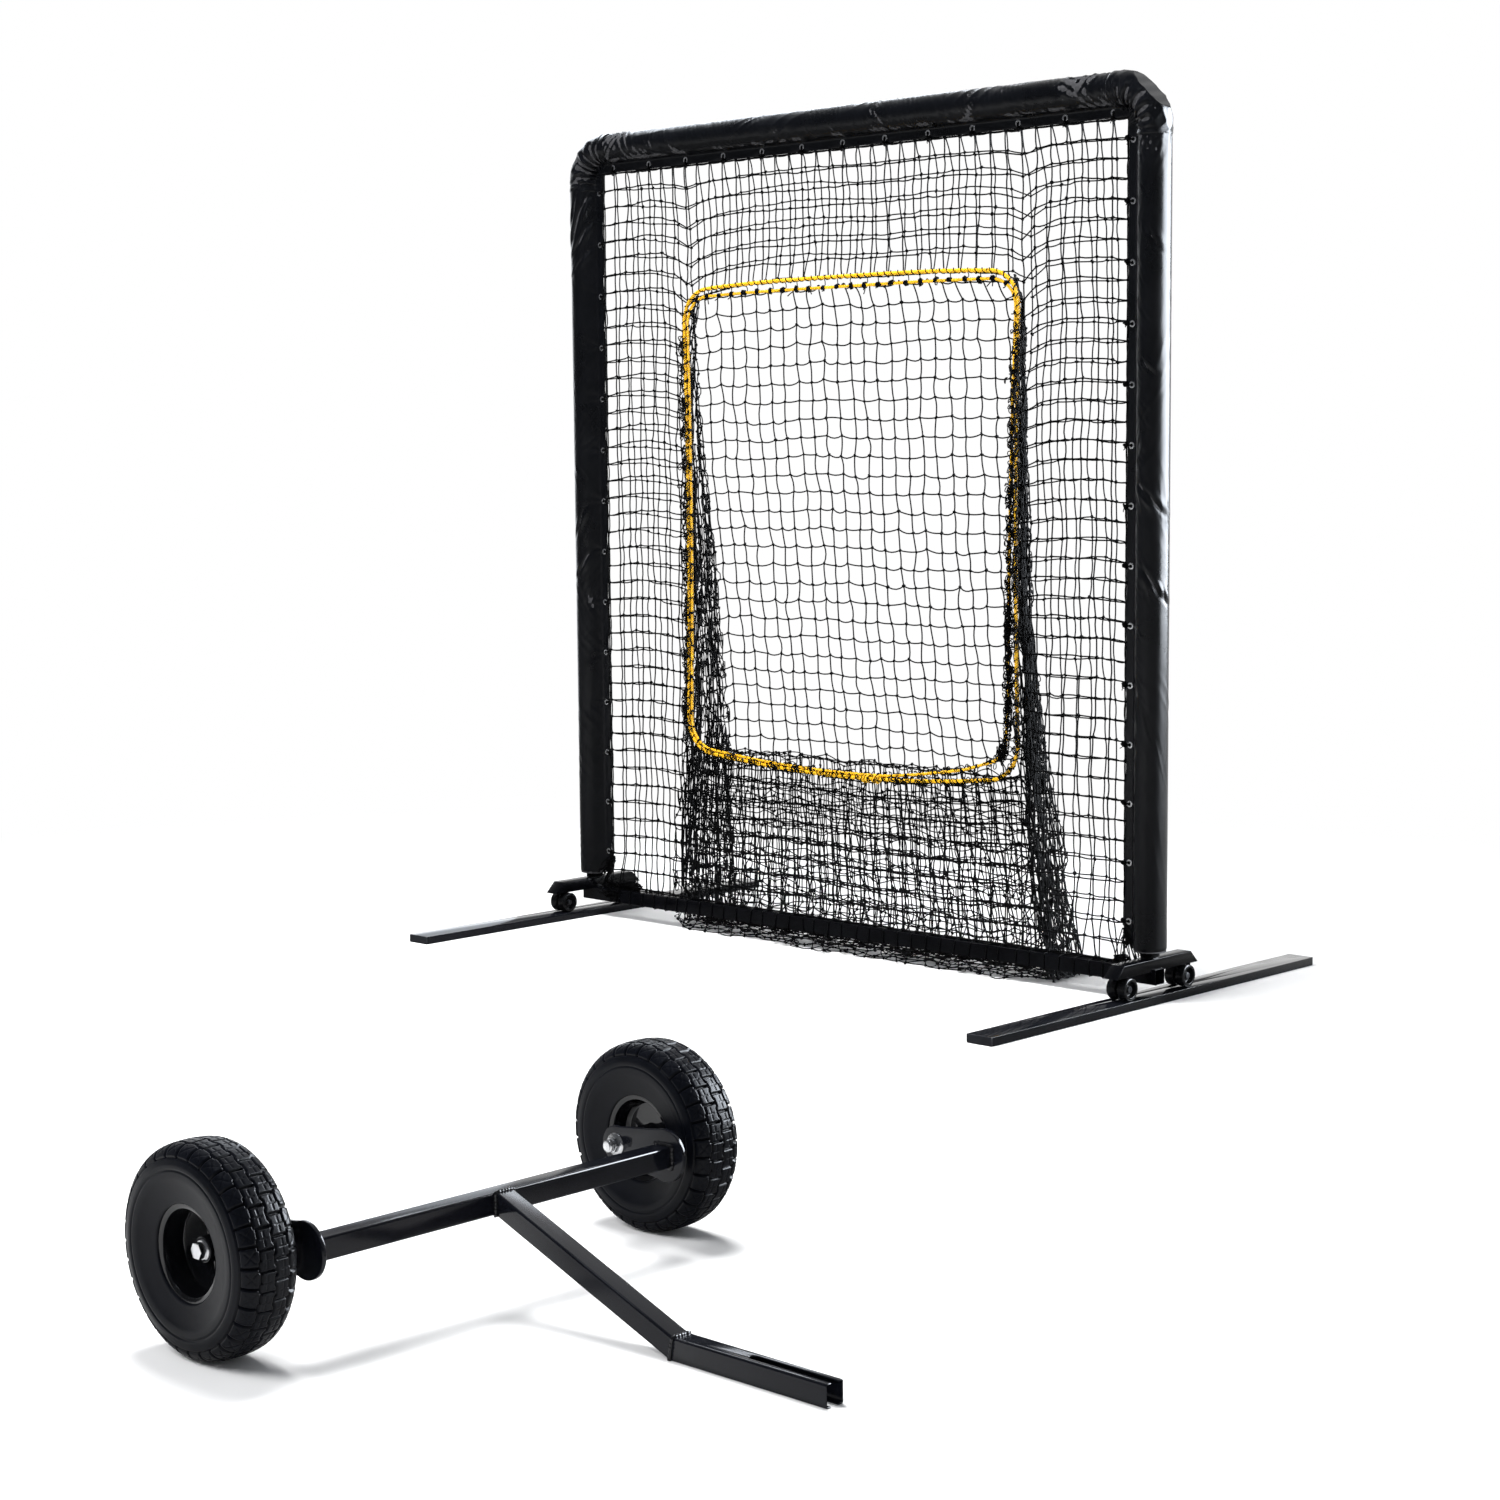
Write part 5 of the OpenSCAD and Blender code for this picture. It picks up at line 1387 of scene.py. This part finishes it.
# Name, place, what it is aimed at, width, height, power, and whether it is a reflector card. A card
# only shows in gloss, and the others only light.
LAMPS = (
    ("overhead", (-1.2, -1.3, 5.5), (-0.3, -1.5, 0.0), 2.4, 2.4, 540, False),
    ("front_fill", (-1.2, -6.6, 4.4), (0.2, -2.0, 0.0), 3.2, 3.2, 300, False),
    ("right_card", (2.2, 1.7, 2.2), (0.0, 0.0, 1.8), 3.4, 2.8, 1100, True),
    ("left_high_card", (-3.1, 1.2, 3.3), (-1.0, 0.0, 2.3), 2.2, 1.2, 55, True),
    ("kit_card", (0.2, -3.9, 4.2), (0.5, -3.0, 0.2), 1.1, 1.1, 12, True),
    ("left_card", (-4.4, 0.7, 1.4), (-2.0, 0.0, 1.3), 1.6, 2.2, 14, True),
)


def smooth_fade(tree, value, low, high):
    fade = tree.nodes.new("ShaderNodeMapRange")
    fade.interpolation_type = "SMOOTHSTEP"
    return feed(tree, fade, Value=value, From_Min=low, From_Max=high).outputs["Result"]


def times(tree, a, b):
    return math_node(tree, "MULTIPLY", a, b)


def opposite(tree, value):
    return math_node(tree, "SUBTRACT", 1.0, value)


def vector_math(tree, operation, a, b):
    node = tree.nodes.new("ShaderNodeVectorMath")
    node.operation = operation
    plug(tree, node.inputs[0], a)
    plug(tree, node.inputs[1], b)
    return node.outputs["Value"]


def mix_shaders(tree, share, a, b):
    mix = add_node(tree, "MixShader", Fac=share)
    tree.links.new(a, mix.inputs[1])
    tree.links.new(b, mix.inputs[2])
    return mix.outputs["Shader"]


def white_floor():
    """Lit floor that turns to plain white away from the object, so that no horizon shows."""
    material, tree, shader = start_material("studio_floor")
    feed(tree, shader, Base_Color=FLOOR_GREY, Roughness=0.9, Specular_IOR_Level=0.0)
    glow = add_node(tree, "Emission", Color=WHITE).outputs["Emission"]
    unlit = add_node(tree, "Emission", Strength=0.0).outputs["Emission"]
    path = add_node(tree, "LightPath").outputs
    place = add_node(tree, "NewGeometry").outputs["Position"]
    y = add_node(tree, "SeparateXYZ", Vector=place).outputs["Y"]
    far = smooth_fade(tree, vector_math(tree, "DISTANCE", place, FADE_CENTRE), FADE_FROM, FADE_TO)
    behind = smooth_fade(tree, y, -0.5, 2.5)
    mirrored = times(tree, far, times(tree, path["Is Glossy Ray"], behind))
    # the floor in front of the object is dim in its gloss, like the room there
    near_frame = math_node(tree, "ADD", times(tree, smooth_fade(tree, y, -2.7, -2.0), 0.45), 0.43)
    before = times(tree, opposite(tree, behind), near_frame)
    lit = mix_shaders(tree, times(tree, before, path["Is Glossy Ray"]), shader.outputs["BSDF"], unlit)
    share = math_node(tree, "MAXIMUM", times(tree, far, path["Is Camera Ray"]), mirrored)
    tree.links.new(mix_shaders(tree, share, lit, glow), tree.nodes["Material Output"].inputs["Surface"])
    return material


def white_world():
    """White behind the object, for the eye and in its gloss; the room in front of it is dim."""
    world = bpy.data.worlds.new("studio")
    bpy.context.scene.world = world
    world.use_nodes = True
    tree = world.node_tree
    path = add_node(tree, "LightPath").outputs
    glossy = path["Is Glossy Ray"]
    place = add_node(tree, "TexCoord").outputs["Generated"]
    wall = smooth_fade(tree, vector_math(tree, "DOT_PRODUCT", place, (-0.45, 0.89, 0.0)), -0.1, 0.9)
    height = add_node(tree, "SeparateXYZ", Vector=place).outputs["Z"]
    strip = times(tree, smooth_fade(tree, height, 0.215, 0.25),
                  opposite(tree, smooth_fade(tree, height, 0.36, 0.55)))
    wall = times(tree, wall, opposite(tree, times(tree, strip, 0.9)))
    direct = math_node(tree, "MAXIMUM", path["Is Camera Ray"], path["Is Transmission Ray"])
    seen = math_node(tree, "MAXIMUM", direct, times(tree, glossy, wall))
    ambient = feed(tree, tree.nodes["Background"], Color=(0.92, 0.95, 1.0, 1),
                   Strength=times(tree, opposite(tree, times(tree, glossy, 0.75)), 0.36))
    white = add_node(tree, "Background", Color=WHITE, Strength=1.0)
    tree.links.new(mix_shaders(tree, seen, ambient.outputs["Background"], white.outputs["Background"]),
                   tree.nodes["World Output"].inputs["Surface"])


def area_light(name, at, toward, width, height, power, card):
    data = bpy.data.lights.new(name, "AREA")
    data.energy = power
    data.shape = "RECTANGLE"
    data.size = width
    data.size_y = height
    data.color = (0.86, 0.92, 1.0) if card else (1, 1, 1)
    lamp = bpy.data.objects.new(name, data)
    lamp.location = at
    lamp.rotation_euler = (Vector(toward) - Vector(at)).to_track_quat("-Z", "Y").to_euler()
    lamp.visible_diffuse = not card
    lamp.visible_glossy = card
    bpy.context.scene.collection.objects.link(lamp)


def set_studio():
    bpy.ops.mesh.primitive_plane_add(size=120, location=(0, 0, 0))
    floor = bpy.context.object
    floor.name = "floor"
    floor.data.materials.append(white_floor())
    white_world()
    for lamp in LAMPS:
        area_light(*lamp)


set_studio()
bpy.context.scene.view_settings.view_transform = "Standard"
